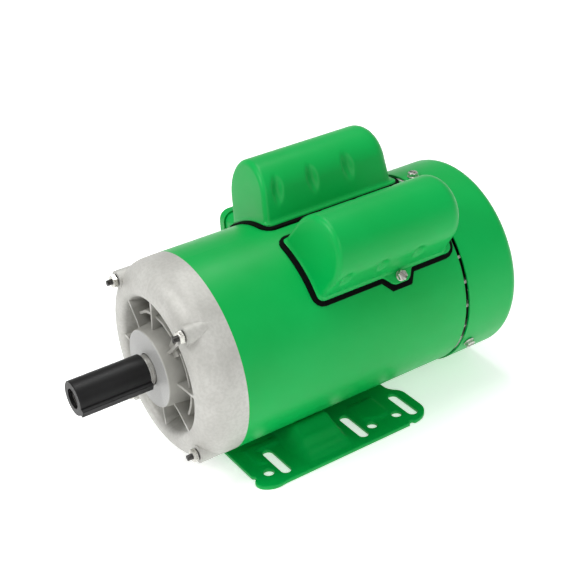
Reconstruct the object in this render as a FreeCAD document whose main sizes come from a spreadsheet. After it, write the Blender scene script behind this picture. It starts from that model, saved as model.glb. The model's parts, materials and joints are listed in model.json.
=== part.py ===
"""Totally enclosed fan-cooled single-phase motor with two capacitors, on a welded foot base.

Row frame: Z up, Y along the shaft with the drive end towards -Y, X across the feet.
The origin lies on the mounting plane, straight below the shaft, at the centre of the
four outer foot holes.  Lengths are millimetres.
"""
import FreeCAD, Part
import Sketcher
import math
import os

V = FreeCAD.Vector

# --------------------------------------------------------------------------------------
# Driving dimensions.  Every cell is a plain number in millimetres, degrees or a count.
# Stations along the shaft (names ending in _at) are measured from the origin along Y.
# --------------------------------------------------------------------------------------
DIMENSIONS = {
    "axis_height": 88.9,
    # rolled steel shell
    "shell_radius": 82.9, "shell_wall": 2.4, "shell_front_at": -82.9, "shell_rear_at": 127.0,
    # foot base
    "plate_thick": 3.2, "plate_half_width": 87.2, "plate_front_at": -77.3, "plate_rear_at": 88.4,
    "foot_hole_radius": 4.35, "foot_half_span": 69.85, "foot_front_at": -63.5,
    "foot_short_at": 38.1, "foot_rear_at": 63.5,
    "slot_half_span": 61.9, "slot_length": 35.0, "slot_front_at": -50.8,
    "slot_short_at": 25.4, "slot_rear_at": 76.2, "saddle_half_width": 27.0,
    # drive-end bell
    "bell_wall": 4.2, "bell_front_at": -116.6, "lip_radius": 57.0, "recess_at": -97.0,
    "recess_radius": 51.5, "hub_face_at": -122.6, "hub_radius": 31.9, "hub_root_radius": 35.5,
    "bell_round": 21.0, "rib_thick": 2.2, "seat_at": -115.8, "boss_radius": 7.5,
    "bolt_pitch_radius": 75.4,
    # shaft and what it carries
    "shaft_end_at": -184.15, "shoulder_at": -127.0, "extension_radius": 11.1125,
    "journal_radius": 12.3, "key_width": 4.7625, "key_height": 4.7625, "key_length": 34.9,
    "key_angle": 114.0, "thread_radius": 3.97, "thread_depth": 20.0,
    "rotor_seat_radius": 16.0, "fan_seat_radius": 8.0, "shaft_rear_at": 166.0,
    "sleeve_radius": 14.2, "sleeve_end_at": -187.3, "sleeve_rear_at": -127.4,
    "sleeve_hole_radius": 8.2, "sleeve_ridge": 16.8,
    # magnetic core
    "stack_front_at": -46.0, "stack_rear_at": 58.0, "air_gap": 0.4, "rotor_radius": 46.0,
    "stator_radius": 80.2, "slot_count": 36, "slot_floor_radius": 65.0, "slot_width": 4.2,
    # bearings: drive end 25 x 52 x 15, rear 17 x 40 x 12
    "drive_bearing_at": -111.5, "drive_bore": 12.5, "drive_ring": 26.0, "drive_width": 15.0,
    "drive_ball": 3.97, "drive_ball_count": 9,
    "rear_bearing_at": 108.0, "rear_bore": 8.5, "rear_ring": 20.0, "rear_width": 12.0,
    "rear_ball": 3.37, "rear_ball_count": 8,
    # fan and fan cover
    "cover_radius": 84.2, "cover_wall": 1.5, "cover_front_at": 129.8, "cover_rear_at": 183.2,
    "cover_round": 9.0, "cover_screw_at": 138.5, "fan_radius": 74.0,
    # capacitor covers
    "can_radius": 28.4, "can_centre": 103.6, "can_front_at": -6.2, "can_rear_at": 120.8,
    "can_wall": 1.3, "can_slope": 8.0, "gasket_thick": 1.7, "gasket_margin": 3.2,
    "gasket_front_margin": 4.4, "flange_half": 29.8, "flange_front_at": -7.0,
    "flange_rear_at": 122.4, "flange_thick": 1.3, "flange_round": 6.5,
    "start_can_angle": -20.0, "run_can_angle": 34.8, "tab_reach": 37.7, "tab_screw_turn": 22.7,
    "tab_screw_at": 68.2, "lead_hole_at": 104.0, "dimple_pitch": 35.6,
    "start_cap_radius": 22.9, "run_cap_radius": 22.2,
    # terminal box on the -X side
    "box_outer_at": -128.0, "box_front_at": 23.5, "box_rear_at": 107.0, "box_half_height": 39.0,
    "box_wall": 1.6, "box_round": 8.0, "conduit_radius": 11.1, "conduit_hub_length": 6.0,
    # hardware
    "bolt_radius": 2.4, "nut_flats": 9.5, "nut_thick": 3.6, "washer_thick": 1.2,
}

doc = FreeCAD.newDocument("CapacitorMotor")
sheet = doc.addObject("Spreadsheet::Sheet", "Sizes")
for row, (alias, number) in enumerate(DIMENSIONS.items(), start=1):
    sheet.set("A%d" % row, alias.replace("_", " "))
    sheet.set("B%d" % row, str(number))
    sheet.setAlias("B%d" % row, alias)
doc.recompute()


class Size:
    """A number together with the expression that keeps it tied to the sheet."""

    def __init__(self, value, text=None):
        self.value = float(value)
        self.text = repr(float(value)) if text is None else text

    def __add__(self, other):
        other = size(other)
        return Size(self.value + other.value, "(%s + %s)" % (self.text, other.text))

    def __sub__(self, other):
        other = size(other)
        return Size(self.value - other.value, "(%s - %s)" % (self.text, other.text))

    def __mul__(self, other):
        other = size(other)
        return Size(self.value * other.value, "(%s * %s)" % (self.text, other.text))

    def __truediv__(self, other):
        other = size(other)
        return Size(self.value / other.value, "(%s / %s)" % (self.text, other.text))

    def __neg__(self):
        return Size(-self.value, "(0 - %s)" % self.text)

    def __radd__(self, other):
        return size(other) + self

    def __rsub__(self, other):
        return size(other) - self

    def __rmul__(self, other):
        return size(other) * self


def size(number):
    return number if isinstance(number, Size) else Size(number)


def cell(alias):
    return Size(DIMENSIONS[alias], "Sizes." + alias)


class Cells:
    def __getattr__(self, alias):
        return cell(alias)


D = Cells()


def along(radius, degrees):
    """X and Z of a point on a circle round the shaft; 0 degrees is up, 90 is +X."""
    radius = size(radius)
    turn = math.radians(degrees)
    across = Size(radius.value * math.sin(turn), "(%s * sin(%s deg))" % (radius.text, degrees))
    upward = Size(radius.value * math.cos(turn), "(%s * cos(%s deg))" % (radius.text, degrees))
    return across, upward


def bind(item, prop, number):
    """Ties one property to the sheet."""
    number = size(number)
    if "." not in prop and "[" not in prop:
        setattr(item, prop, number.value)
    item.setExpression(prop, number.text)


def settle():
    doc.recompute()


# --------------------------------------------------------------------------------------
# Sketch-based bodies.  A body's own Y axis is the shaft unless it stands on the base.
# --------------------------------------------------------------------------------------
def new_body(label, height=None, turn=0.0):
    """A body whose origin is lifted to the shaft and may be turned about it."""
    body = doc.addObject("PartDesign::Body", label)
    body.Label = label
    body.Placement = FreeCAD.Placement(V(0, 0, 0), FreeCAD.Rotation(V(0, 1, 0), turn))
    bind(body, "Placement.Base.z", D.axis_height if height is None else height)
    return body


def origin_item(body, role):
    for item in body.Origin.OriginFeatures:
        if item.Role == role:
            return item
    raise ValueError(role)


def new_sketch(body, role, offset=None):
    sketch = body.newObject("Sketcher::SketchObject", body.Name + "_sketch")
    sketch.AttachmentSupport = [(origin_item(body, role), "")]
    sketch.MapMode = "FlatFace"
    if offset is not None:
        bind(sketch, "AttachmentOffset.Base.z", offset)
    return sketch


def pin_point(sketch, curve, end, point):
    """Places one sketch point by its two coordinates."""
    for kind, number in (("DistanceX", size(point[0])), ("DistanceY", size(point[1]))):
        index = sketch.addConstraint(Sketcher.Constraint(kind, -1, 1, curve, end, number.value))
        sketch.setExpression("Constraints[%d]" % index, number.text)


def add_polygon(sketch, points):
    """A closed outline of straight edges through the given points."""
    spots = [V(size(x).value, size(y).value, 0) for x, y in points]
    count = len(spots)
    lines = [Part.LineSegment(spots[i], spots[(i + 1) % count]) for i in range(count)]
    ids = sketch.addGeometry(lines, False)
    for i in range(count):
        sketch.addConstraint(Sketcher.Constraint("Coincident", ids[i], 2, ids[(i + 1) % count], 1))
    for i in range(count):
        pin_point(sketch, ids[i], 1, points[i])


def add_circle(sketch, x, y, radius):
    radius = size(radius)
    centre = V(size(x).value, size(y).value, 0)
    curve = sketch.addGeometry(Part.Circle(centre, V(0, 0, 1), radius.value), False)
    pin_point(sketch, curve, 3, (x, y))
    index = sketch.addConstraint(Sketcher.Constraint("Radius", curve, radius.value))
    sketch.setExpression("Constraints[%d]" % index, radius.text)


def add_slot(sketch, x, y, length, radius):
    """A straight slot with round ends, its length along the sketch's first axis."""
    x, y, length, radius = size(x), size(y), size(length), size(radius)
    reach = length / 2 - radius
    left = V(x.value - reach.value, y.value, 0)
    right = V(x.value + reach.value, y.value, 0)
    rise = V(0, radius.value, 0)
    quarter = math.pi / 2
    round_left = Part.ArcOfCircle(Part.Circle(left, V(0, 0, 1), radius.value), quarter, 3 * quarter)
    round_right = Part.ArcOfCircle(Part.Circle(right, V(0, 0, 1), radius.value), -quarter, quarter)
    lines = [Part.LineSegment(left - rise, right - rise), Part.LineSegment(right + rise, left + rise)]
    a, b, low, high = sketch.addGeometry([round_left, round_right] + lines, False)
    for one, end, two, start in ((a, 2, low, 1), (low, 2, b, 1), (b, 2, high, 1), (high, 2, a, 1)):
        sketch.addConstraint(Sketcher.Constraint("Coincident", one, end, two, start))
    pin_point(sketch, a, 3, (x - reach, y))
    pin_point(sketch, b, 3, (x + reach, y))
    for arc in (a, b):
        index = sketch.addConstraint(Sketcher.Constraint("Radius", arc, radius.value))
        sketch.setExpression("Constraints[%d]" % index, radius.text)
        sketch.addConstraint(Sketcher.Constraint("Vertical", arc, 1, arc, 3))
        sketch.addConstraint(Sketcher.Constraint("Vertical", arc, 2, arc, 3))


def revolve(body, points, kind="PartDesign::Revolution"):
    """Turns a closed outline, given as (station along Y, radius), about the shaft."""
    sketch = new_sketch(body, "YZ_Plane")
    add_polygon(sketch, points)
    feature = body.newObject(kind, body.Name + "_turned")
    feature.Profile = sketch
    feature.ReferenceAxis = (sketch, ["H_Axis"])
    feature.Angle = 360
    settle()
    return feature


def groove(body, points):
    return revolve(body, points, "PartDesign::Groove")


def pad(body, sketch, length, reverse=False, middle=False, kind="PartDesign::Pad"):
    feature = body.newObject(kind, body.Name + "_pad")
    feature.Profile = sketch
    bind(feature, "Length", length)
    feature.Reversed = reverse
    feature.Midplane = middle
    settle()
    return feature


def pocket(body, sketch, length, reverse=False, middle=False):
    before = body.Shape.Volume
    feature = pad(body, sketch, length, reverse, middle, "PartDesign::Pocket")
    if not body.Shape.Volume < before - 0.5:
        raise ValueError("nothing was removed from " + body.Label)
    return feature


def slab(body, start, end, draw, kind="PartDesign::Pad"):
    """Extrudes an outline drawn across the shaft, from one station on Y to another."""
    sketch = new_sketch(body, "XZ_Plane", -size(start))
    draw(sketch)
    return pad(body, sketch, size(end) - size(start), reverse=(kind == "PartDesign::Pad"), kind=kind)


def carve(body, start, end, draw):
    """Removes an outline drawn across the shaft, from one station on Y to another."""
    sketch = new_sketch(body, "XZ_Plane", -size(start))
    draw(sketch)
    return pocket(body, sketch, size(end) - size(start))


def around(body, features, count, axis="Y_Axis"):
    """Repeats features evenly about the shaft."""
    pattern = body.newObject("PartDesign::PolarPattern", body.Name + "_pattern")
    pattern.Originals = features
    pattern.Axis = (origin_item(body, axis), [""])
    pattern.Angle = 360
    if isinstance(count, Size):
        pattern.Occurrences = int(count.value)
        pattern.setExpression("Occurrences", count.text)
    else:
        pattern.Occurrences = count
    body.Tip = pattern
    settle()
    return pattern


def round_edges(body, radius, chosen, kind="PartDesign::Fillet"):
    """Rounds the edges of the body's last feature that the test picks out."""
    base = body.Tip
    names = ["Edge%d" % (i + 1) for i, edge in enumerate(base.Shape.Edges) if chosen(edge)]
    if not names:
        raise ValueError("no edges to round on " + body.Label)
    feature = body.newObject(kind, body.Name + "_round")
    feature.Base = (base, names)
    bind(feature, "Radius" if kind.endswith("Fillet") else "Size", radius)
    settle()
    return feature


def ring_edge(station, radius, slack=0.05):
    """Picks the circular edges about the shaft at one station and radius."""
    station, radius = size(station).value, size(radius).value

    def chosen(edge):
        curve = edge.Curve
        if not isinstance(curve, Part.Circle):
            return False
        middle = curve.Center
        off_axis = math.hypot(middle.x, middle.z)
        return off_axis < slack and abs(middle.y - station) < slack and abs(curve.Radius - radius) < slack

    return chosen


def turned(label, points):
    body = new_body(label)
    revolve(body, points)
    return body


# --------------------------------------------------------------------------------------
# Primitives.  They are placed in the row frame; Z is given above the shaft.
# --------------------------------------------------------------------------------------
ALONG_Y = FreeCAD.Rotation(V(1, 0, 0), -90)
UPRIGHT = FreeCAD.Rotation(V(0, 0, 1), 0)


def place(item, x, y, z, rotation=ALONG_Y):
    item.Placement = FreeCAD.Placement(V(0, 0, 0), rotation)
    bind(item, "Placement.Base.x", x)
    bind(item, "Placement.Base.y", y)
    bind(item, "Placement.Base.z", D.axis_height + z)
    return item


def cylinder(label, radius, length, x, y, z, rotation=ALONG_Y):
    item = doc.addObject("Part::Cylinder", label)
    bind(item, "Radius", radius)
    bind(item, "Height", length)
    return place(item, x, y, z, rotation)


def block(label, wide, deep, tall, x, y, z, rotation=UPRIGHT):
    item = doc.addObject("Part::Box", label)
    bind(item, "Length", wide)
    bind(item, "Width", deep)
    bind(item, "Height", tall)
    return place(item, x, y, z, rotation)


def hexagon(label, flats, thick, x, y, z, rotation=ALONG_Y):
    item = doc.addObject("Part::Prism", label)
    item.Polygon = 6
    bind(item, "Circumradius", size(flats) / math.sqrt(3))
    bind(item, "Height", thick)
    return place(item, x, y, z, rotation)


def named(item, label):
    item.Label = label
    settle()
    return item


def fuse(label, items):
    item = doc.addObject("Part::MultiFuse", label)
    item.Shapes = items
    return named(item, label)


def cut(label, base, tools):
    item = doc.addObject("Part::Cut", label)
    item.Base = base
    item.Tool = tools[0] if len(tools) == 1 else fuse(label + "_tools", tools)
    named(item, label)
    if not item.Shape.Volume < base.Shape.Volume - 0.01:
        raise ValueError("nothing was removed from " + label)
    return item


def gather(label, items):
    """Several separate solids kept as one node."""
    item = doc.addObject("Part::Compound", label)
    item.Links = items
    return named(item, label)


def facing(degrees):
    """Rotation that stands a primitive's own axis straight out from the shaft."""
    return FreeCAD.Rotation(V(0, 1, 0), degrees)


# --------------------------------------------------------------------------------------
# Shell and foot base
# --------------------------------------------------------------------------------------
# Each capacitor: its name, the angle it stands at and the side its screw tab is on.
CAPACITORS = (
    ("start", DIMENSIONS["start_can_angle"], -1),
    ("run", DIMENSIONS["run_can_angle"], 1),
)
BOX_LEAD_AT = D.box_front_at + 41.0


def screw_angle(angle, side):
    return angle + side * DIMENSIONS["tab_screw_turn"]


def radial_hole(label, radius, degrees, station):
    """A drill standing straight out from the shaft, long enough to pass the shell wall."""
    x, z = along(D.shell_radius - 8, degrees)
    return cylinder(label, radius, 16, x, station, z, facing(degrees))


def make_shell():
    bore = D.shell_radius - D.shell_wall
    tube = turned("shell_tube", [
        (D.shell_front_at, D.shell_radius), (D.shell_rear_at, D.shell_radius),
        (D.shell_rear_at, bore), (D.shell_front_at, bore),
    ])
    drills = [radial_hole("lead_hole_box", 11.0, -90.0, BOX_LEAD_AT)]
    for name, angle, side in CAPACITORS:
        drills.append(radial_hole("lead_hole_" + name, 8.0, angle, D.lead_hole_at))
        drills.append(radial_hole("tap_" + name, 1.75, screw_angle(angle, side), D.tab_screw_at))
    return cut("shell", tube, drills)


def base_outline():
    """Right half of the plate's edge, from the drive end to the rear."""
    front, rear, side = D.plate_front_at, D.plate_rear_at, D.plate_half_width
    return [
        (32.0, front), (66.5, front), (68.0, front + 1.8), (71.0, front + 1.8),
        (72.2, front - 0.6), (75.5, front - 2.2), (80.2, front - 1.6), (84.2, front + 2.0),
        (87.2, front + 7.4), (88.0, front + 13.0), (side, front + 19.0), (side, 64.4),
        (84.9, 65.2), (84.9, 68.4), (side, 69.6), (86.8, 74.5), (85.0, 79.6),
        (81.6, 84.0), (77.0, 87.2), (72.0, rear), (48.0, rear), (43.0, 86.4),
        (39.4, 82.4), (34.6, 80.0), (30.0, 79.6),
    ]


def ramp_outline(drop):
    """Cross-section of the raised seat that climbs from the foot to the shell."""
    return [
        (80.0 - 1.6 * drop, D.plate_thick - drop), (70.5 - drop, 8.2 - drop),
        (49.5, 19.6 - drop), (46.4, 19.0 - drop), (38.0, 14.4 - drop), (30.5, 10.9 - drop),
        (30.5, D.plate_thick - drop),
    ]


def make_base_plate():
    body = new_body("base_plate", height=0)
    sketch = new_sketch(body, "XY_Plane")
    right = base_outline()
    left = [(-size(x), y) for x, y in reversed(right)]
    add_polygon(sketch, right + left)
    pad(body, sketch, D.plate_thick)
    for start, end, sign in ((-30.0, 12.0, 1), (-30.0, 12.0, -1)):
        sketch = new_sketch(body, "XZ_Plane", -size(start))
        add_polygon(sketch, [(sign * size(x), y) for x, y in ramp_outline(size(0))])
        pad(body, sketch, end - start, reverse=True)
    for start, end, sign in ((-27.2, 9.2, 1), (-27.2, 9.2, -1)):
        sketch = new_sketch(body, "XZ_Plane", -size(start))
        add_polygon(sketch, [(sign * size(x), y) for x, y in ramp_outline(D.plate_thick + 0.0)])
        pocket(body, sketch, end - start)
    sketch = new_sketch(body, "XY_Plane", D.plate_thick)
    for sign in (1, -1):
        add_polygon(sketch, [(sign * x, y) for x, y in (
            (34.0, -66.0), (54.0, -66.0), (59.0, -62.5), (59.0, -57.5), (42.5, -57.5),
            (42.5, -36.0), (34.0, -36.0))])
        add_polygon(sketch, [(sign * x, y) for x, y in (
            (38.0, 36.0), (61.0, 36.0), (66.5, 41.0), (66.5, 56.0), (62.0, 60.0), (38.0, 60.0))])
    pad(body, sketch, 1.1)
    sketch = new_sketch(body, "XY_Plane")
    for sign in (1, -1):
        for station in (D.slot_front_at, D.slot_short_at, D.slot_rear_at):
            add_slot(sketch, sign * D.slot_half_span, station, D.slot_length, D.foot_hole_radius)
        for station in (D.foot_front_at, D.foot_short_at, D.foot_rear_at):
            add_circle(sketch, sign * D.foot_half_span, station, D.foot_hole_radius)
    pocket(body, sketch, 30, reverse=True)
    settle()
    return body


def make_base_saddle():
    """Two cradles welded between the plate and the shell."""
    body = new_body("base_saddle", height=0)
    half = D.saddle_half_width
    for start, end in ((-72.0, -38.0), (18.0, 74.0)):
        sketch = new_sketch(body, "XZ_Plane", -size(start))
        add_polygon(sketch, [(-half, D.plate_thick), (half, D.plate_thick), (half, 12.0), (-half, 12.0)])
        pad(body, sketch, end - start, reverse=True)
    sketch = new_sketch(body, "XZ_Plane", size(80.0))
    add_circle(sketch, 0, D.axis_height, D.shell_radius + 0.3)
    pocket(body, sketch, 160)
    return body


# --------------------------------------------------------------------------------------
# Bells
# --------------------------------------------------------------------------------------
def make_drive_end_bell():
    wall = D.bell_wall
    spigot = D.shell_radius - D.shell_wall - 0.1
    seat_front = D.drive_bearing_at
    seat_rear = D.drive_bearing_at + D.drive_width + 0.4
    body = turned("drive_end_bell", [
        (D.shell_front_at, D.shell_radius), (D.bell_front_at, D.shell_radius - 0.6),
        (D.bell_front_at, D.lip_radius), (D.recess_at, D.recess_radius),
        (D.recess_at, D.hub_root_radius), (D.hub_face_at, D.hub_radius),
        (D.hub_face_at, 13.1), (-118.2, 13.1), (-118.2, 17.0), (seat_front - 0.6, 17.0),
        (seat_front - 0.6, 22.5), (seat_front, 22.5), (seat_front, D.drive_ring),
        (seat_rear, D.drive_ring), (seat_rear, D.hub_root_radius - 3),
        (D.recess_at + wall, D.hub_root_radius - 1), (D.recess_at + wall, D.recess_radius + wall + 2),
        (D.bell_front_at + wall, D.lip_radius + wall), (D.bell_front_at + wall, 66.0),
        (-104.0, 76.0), (-94.0, 78.2), (D.shell_front_at + 6.5, 78.2),
        (D.shell_front_at + 6.5, spigot), (D.shell_front_at, spigot),
    ])
    round_edges(body, D.bell_round, ring_edge(D.bell_front_at, D.shell_radius - 0.6))
    for angle in (45, 135, 225, 315):
        x, z = along(D.bolt_pitch_radius, angle)
        sketch = new_sketch(body, "XZ_Plane", -D.seat_at)
        add_circle(sketch, x, z, D.boss_radius)
        pad(body, sketch, 27.0, reverse=True)
    round_edges(body, 6.0, ring_edge(D.bell_front_at, D.lip_radius))
    round_edges(body, 3.5, ring_edge(D.recess_at, D.recess_radius))
    round_edges(body, 3.0, ring_edge(D.recess_at, D.hub_root_radius))
    round_edges(body, 1.0, ring_edge(D.hub_face_at, D.hub_radius))
    add_bell_ribs(body)
    carve(body, D.seat_at - 2, 2.0 + D.shell_front_at + 40, lambda s: [
        add_circle(s, *along(D.bolt_pitch_radius, angle), 2.75) for angle in (45, 135, 225, 315)])
    carve(body, D.recess_at - 6, D.recess_at + 8, lambda s: [
        add_polygon(s, [along(r, a) for r, a in outline])
        for outline in (arc_window(171, 186, 39.5, 45.5), arc_window(-34, -18, 43.0, 48.5))])
    return body


def arc_window(first, last, inner, outer):
    """Corners of a curved slot about the shaft, given as radius and angle."""
    steps = [first + (last - first) * i / 4 for i in range(5)]
    return [(inner, a) for a in steps] + [(outer, a) for a in reversed(steps)]


def upright_rib(body, outline, thick):
    """A thin rib straight above the shaft, drawn as station and radius."""
    sketch = new_sketch(body, "YZ_Plane")
    add_polygon(sketch, outline)
    return pad(body, sketch, thick, middle=True)


def add_bell_ribs(body):
    """Eight radial ribs in the recess, curved stiffeners between them and a cast pad."""
    floor = D.recess_at + 1.5
    outline = [
        (floor, D.hub_root_radius - 1.5), (-116.0, D.hub_radius - 1.0), (-115.0, 38.0),
        (-114.2, D.lip_radius + 1.2), (floor, D.recess_radius + 1.5),
    ]
    rib = upright_rib(body, outline, D.rib_thick)
    around(body, [rib], 8)
    for first, last, radius in ((-40, 33, 43.5), (52, 88, 44.5), (96, 126, 46.0), (228, 262, 44.5)):
        sketch = new_sketch(body, "XZ_Plane", size(111.5))
        add_polygon(sketch, [along(r, a) for r, a in arc_window(first, last, radius - 1.1, radius + 1.1)])
        pad(body, sketch, 16.0, reverse=True)
    sketch = new_sketch(body, "XZ_Plane", size(112.4))
    add_polygon(sketch, [along(r, a) for r, a in arc_window(36, 54, 33.0, 43.0)])
    pad(body, sketch, 17.0, reverse=True)


def make_rear_end_bell():
    spigot = D.shell_radius - D.shell_wall - 0.1
    seat = D.rear_bearing_at
    body = turned("rear_bell_casting", [
        (seat - 3.2, 12.5), (seat - 3.2, 26.0), (120.4, 30.0), (120.4, 74.0), (116.0, 77.5),
        (116.0, spigot), (D.shell_rear_at, spigot), (D.shell_rear_at, 80.9), (129.0, 80.9),
        (129.0, 77.0), (126.0, 74.0), (124.6, 70.0), (124.6, 30.0), (127.4, 24.0), (127.4, 11.0),
        (seat + D.rear_width + 1.2, 11.0), (seat + D.rear_width + 1.2, D.rear_ring),
        (seat - 1.2, D.rear_ring), (seat - 1.2, 12.5),
    ])
    rib = upright_rib(body, [(123.0, 26.0), (134.5, 40.0), (134.5, 78.0), (130.8, 81.6),
                             (127.6, 81.6), (127.6, 78.0), (123.0, 74.0)], 2.4)
    around(body, [rib], 24)
    for angle in (0, 120, 240):
        sketch = new_sketch(body, "XZ_Plane", size(-127.3))
        corners = arc_window(angle - 7, angle + 7, 69.0, 82.3)
        add_polygon(sketch, [along(r, a) for r, a in corners])
        pad(body, sketch, 17.7, reverse=True)
    for angle in (45, 135, 225, 315):
        x, z = along(D.bolt_pitch_radius - 1.0, angle)
        sketch = new_sketch(body, "XZ_Plane", size(-117.0))
        add_circle(sketch, x, z, 5.6)
        pad(body, sketch, 13.6, reverse=True)
    carve(body, 110.0, 140.0, lambda s: [
        add_circle(s, *along(D.bolt_pitch_radius, angle), 2.75) for angle in (45, 135, 225, 315)])
    carve(body, 130.6, 140.0, lambda s: [
        add_circle(s, *along(D.bolt_pitch_radius, angle), 6.3) for angle in (45, 135, 225, 315)])
    taps = [cover_screw_drill("bell_tap_%d" % angle, angle, 2.1, 62.0, 24.0) for angle in (0, 120, 240)]
    return cut("rear_end_bell", body, taps)


def cover_screw_drill(label, angle, radius, start, length):
    x, z = along(start, angle)
    return cylinder(label, radius, length, x, D.cover_screw_at, z, facing(angle))


# --------------------------------------------------------------------------------------
# Fan and fan cover
# --------------------------------------------------------------------------------------
def make_fan_cover():
    inner = D.cover_radius - D.cover_wall
    body = turned("fan_cover_drum", [
        (D.cover_front_at, D.cover_radius), (D.cover_rear_at, D.cover_radius),
        (D.cover_rear_at, 6.0), (D.cover_rear_at - D.cover_wall, 6.0),
        (D.cover_rear_at - D.cover_wall, inner), (D.cover_front_at, inner),
    ])
    round_edges(body, D.cover_round, ring_edge(D.cover_rear_at, D.cover_radius))
    round_edges(body, D.cover_round - D.cover_wall, ring_edge(D.cover_rear_at - D.cover_wall, inner))
    features = []
    for inner_reach, outer_reach, half in ((16.0, 30.0, 6.0), (34.0, 50.0, 6.6), (54.0, 68.0, 7.0)):
        features.append(carve(body, D.cover_rear_at - 6, D.cover_rear_at + 2, lambda s: add_polygon(
            s, [along(r, a) for r, a in arc_window(-half, half, inner_reach, outer_reach)])))
    around(body, features, 20)
    drills = [cover_screw_drill("cover_drill_%d" % angle, angle, 2.3, 76.0, 12.0)
              for angle in (0, 120, 240)]
    return cut("fan_cover", body, drills)


def make_cooling_fan():
    body = turned("cooling_fan", [
        (141.0, D.fan_seat_radius + 0.02), (141.0, 15.0), (144.0, 16.5), (146.0, 60.0),
        (148.4, 60.0), (147.0, 17.5), (160.0, 15.0), (160.0, D.fan_seat_radius + 0.02),
    ])
    blade = upright_rib(body, [(145.5, 16.0), (159.0, 16.0), (164.0, 30.0), (172.0, 52.0),
                               (172.0, D.fan_radius), (149.0, D.fan_radius), (146.6, 58.0)], 2.4)
    around(body, [blade], 9)
    return body


def make_fan_clip():
    """Retaining ring that holds the fan on the shaft."""
    body = turned("fan_clip", [(160.2, 7.45), (160.2, 11.6), (161.3, 11.6), (161.3, 7.45)])
    gap = [(-1.6, 4.0), (1.6, 4.0), (1.6, 14.0), (-1.6, 14.0)]
    carve(body, 159.0, 163.0, lambda s: add_polygon(s, gap))
    return body


def make_fan_cover_screws():
    """Radial screws that hold the fan cover to the rear bell, each with its washer head."""
    pieces = []
    for angle in (0, 120, 240):
        shank = cover_screw_drill("cover_screw_shank_%d" % angle, angle, 1.95, 70.0, 16.8)
        collar = cover_screw_drill("cover_screw_collar_%d" % angle, angle, 5.6, D.cover_radius + 0.15, 1.0)
        head = hexagon("cover_screw_head_%d" % angle, 7.6, 3.2, *side_spot(angle), facing(angle))
        slot = block("cover_screw_slot_%d" % angle, 9.0, 1.1, 2.0, *screw_slot_spot(angle), facing(angle))
        pieces.append(cut("cover_screw_%d" % angle, fuse("cover_screw_solid_%d" % angle,
                                                       [shank, collar, head]), [slot]))
    return gather("fan_cover_screws", pieces)


def side_spot(angle):
    x, z = along(D.cover_radius + 1.0, angle)
    return x, D.cover_screw_at, z


def screw_slot_spot(angle):
    """Corner of the driver slot cut across a cover screw's head."""
    x, z = along(D.cover_radius + 2.9, angle)
    turn = math.radians(angle)
    return x - 4.5 * math.cos(turn), D.cover_screw_at - 0.55, z + 4.5 * math.sin(turn)


# --------------------------------------------------------------------------------------
# Shaft, key and moulded sleeve
# --------------------------------------------------------------------------------------
def make_shaft():
    bearing = D.drive_bearing_at
    rear = D.rear_bearing_at
    body = turned("shaft_blank", [
        (D.shaft_end_at, 0), (D.shaft_end_at, D.extension_radius - 1.0),
        (D.shaft_end_at + 1.0, D.extension_radius), (D.shoulder_at, D.extension_radius),
        (D.shoulder_at, D.journal_radius), (bearing - 1.5, D.journal_radius),
        (bearing - 1.5, D.drive_bore), (bearing + D.drive_width, D.drive_bore),
        (bearing + D.drive_width, 15.6), (-62.0, 15.6), (-62.0, D.rotor_seat_radius),
        (70.0, D.rotor_seat_radius), (70.0, 14.0), (100.0, 14.0), (100.0, 11.2),
        (rear, 11.2), (rear, D.rear_bore), (rear + D.rear_width + 0.5, D.rear_bore),
        (rear + D.rear_width + 0.5, D.fan_seat_radius), (160.2, D.fan_seat_radius),
        (160.2, 7.45), (161.3, 7.45), (161.3, D.fan_seat_radius),
        (D.shaft_rear_at - 1, D.fan_seat_radius), (D.shaft_rear_at, 7.0), (D.shaft_rear_at, 0),
    ])
    carve(body, D.shaft_end_at - 1, D.shaft_end_at + D.thread_depth,
          lambda s: add_circle(s, 0, 0, D.thread_radius))
    keyway = keyway_box("keyway", D.key_width + 0.02, D.key_length + 0.04, 6.0, 0.0)
    return cut("shaft", body, [keyway])


def keyway_box(label, wide, length, tall, lift):
    """A box lying on the floor of the keyway, along the shaft extension."""
    turn = math.radians(DIMENSIONS["key_angle"])
    floor = D.extension_radius - D.key_height / 2 + lift
    x = floor * Size(math.sin(turn)) - size(wide) / 2 * Size(math.cos(turn))
    z = floor * Size(math.cos(turn)) + size(wide) / 2 * Size(math.sin(turn))
    start = D.shoulder_at - 12.0 - D.key_length - (size(length) - D.key_length) / 2
    return block(label, wide, length, tall, x, start, z, facing(DIMENSIONS["key_angle"]))


def make_shaft_key():
    return named(keyway_box("shaft_key", D.key_width, D.key_length, D.key_height, 0.02), "shaft_key")


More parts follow.
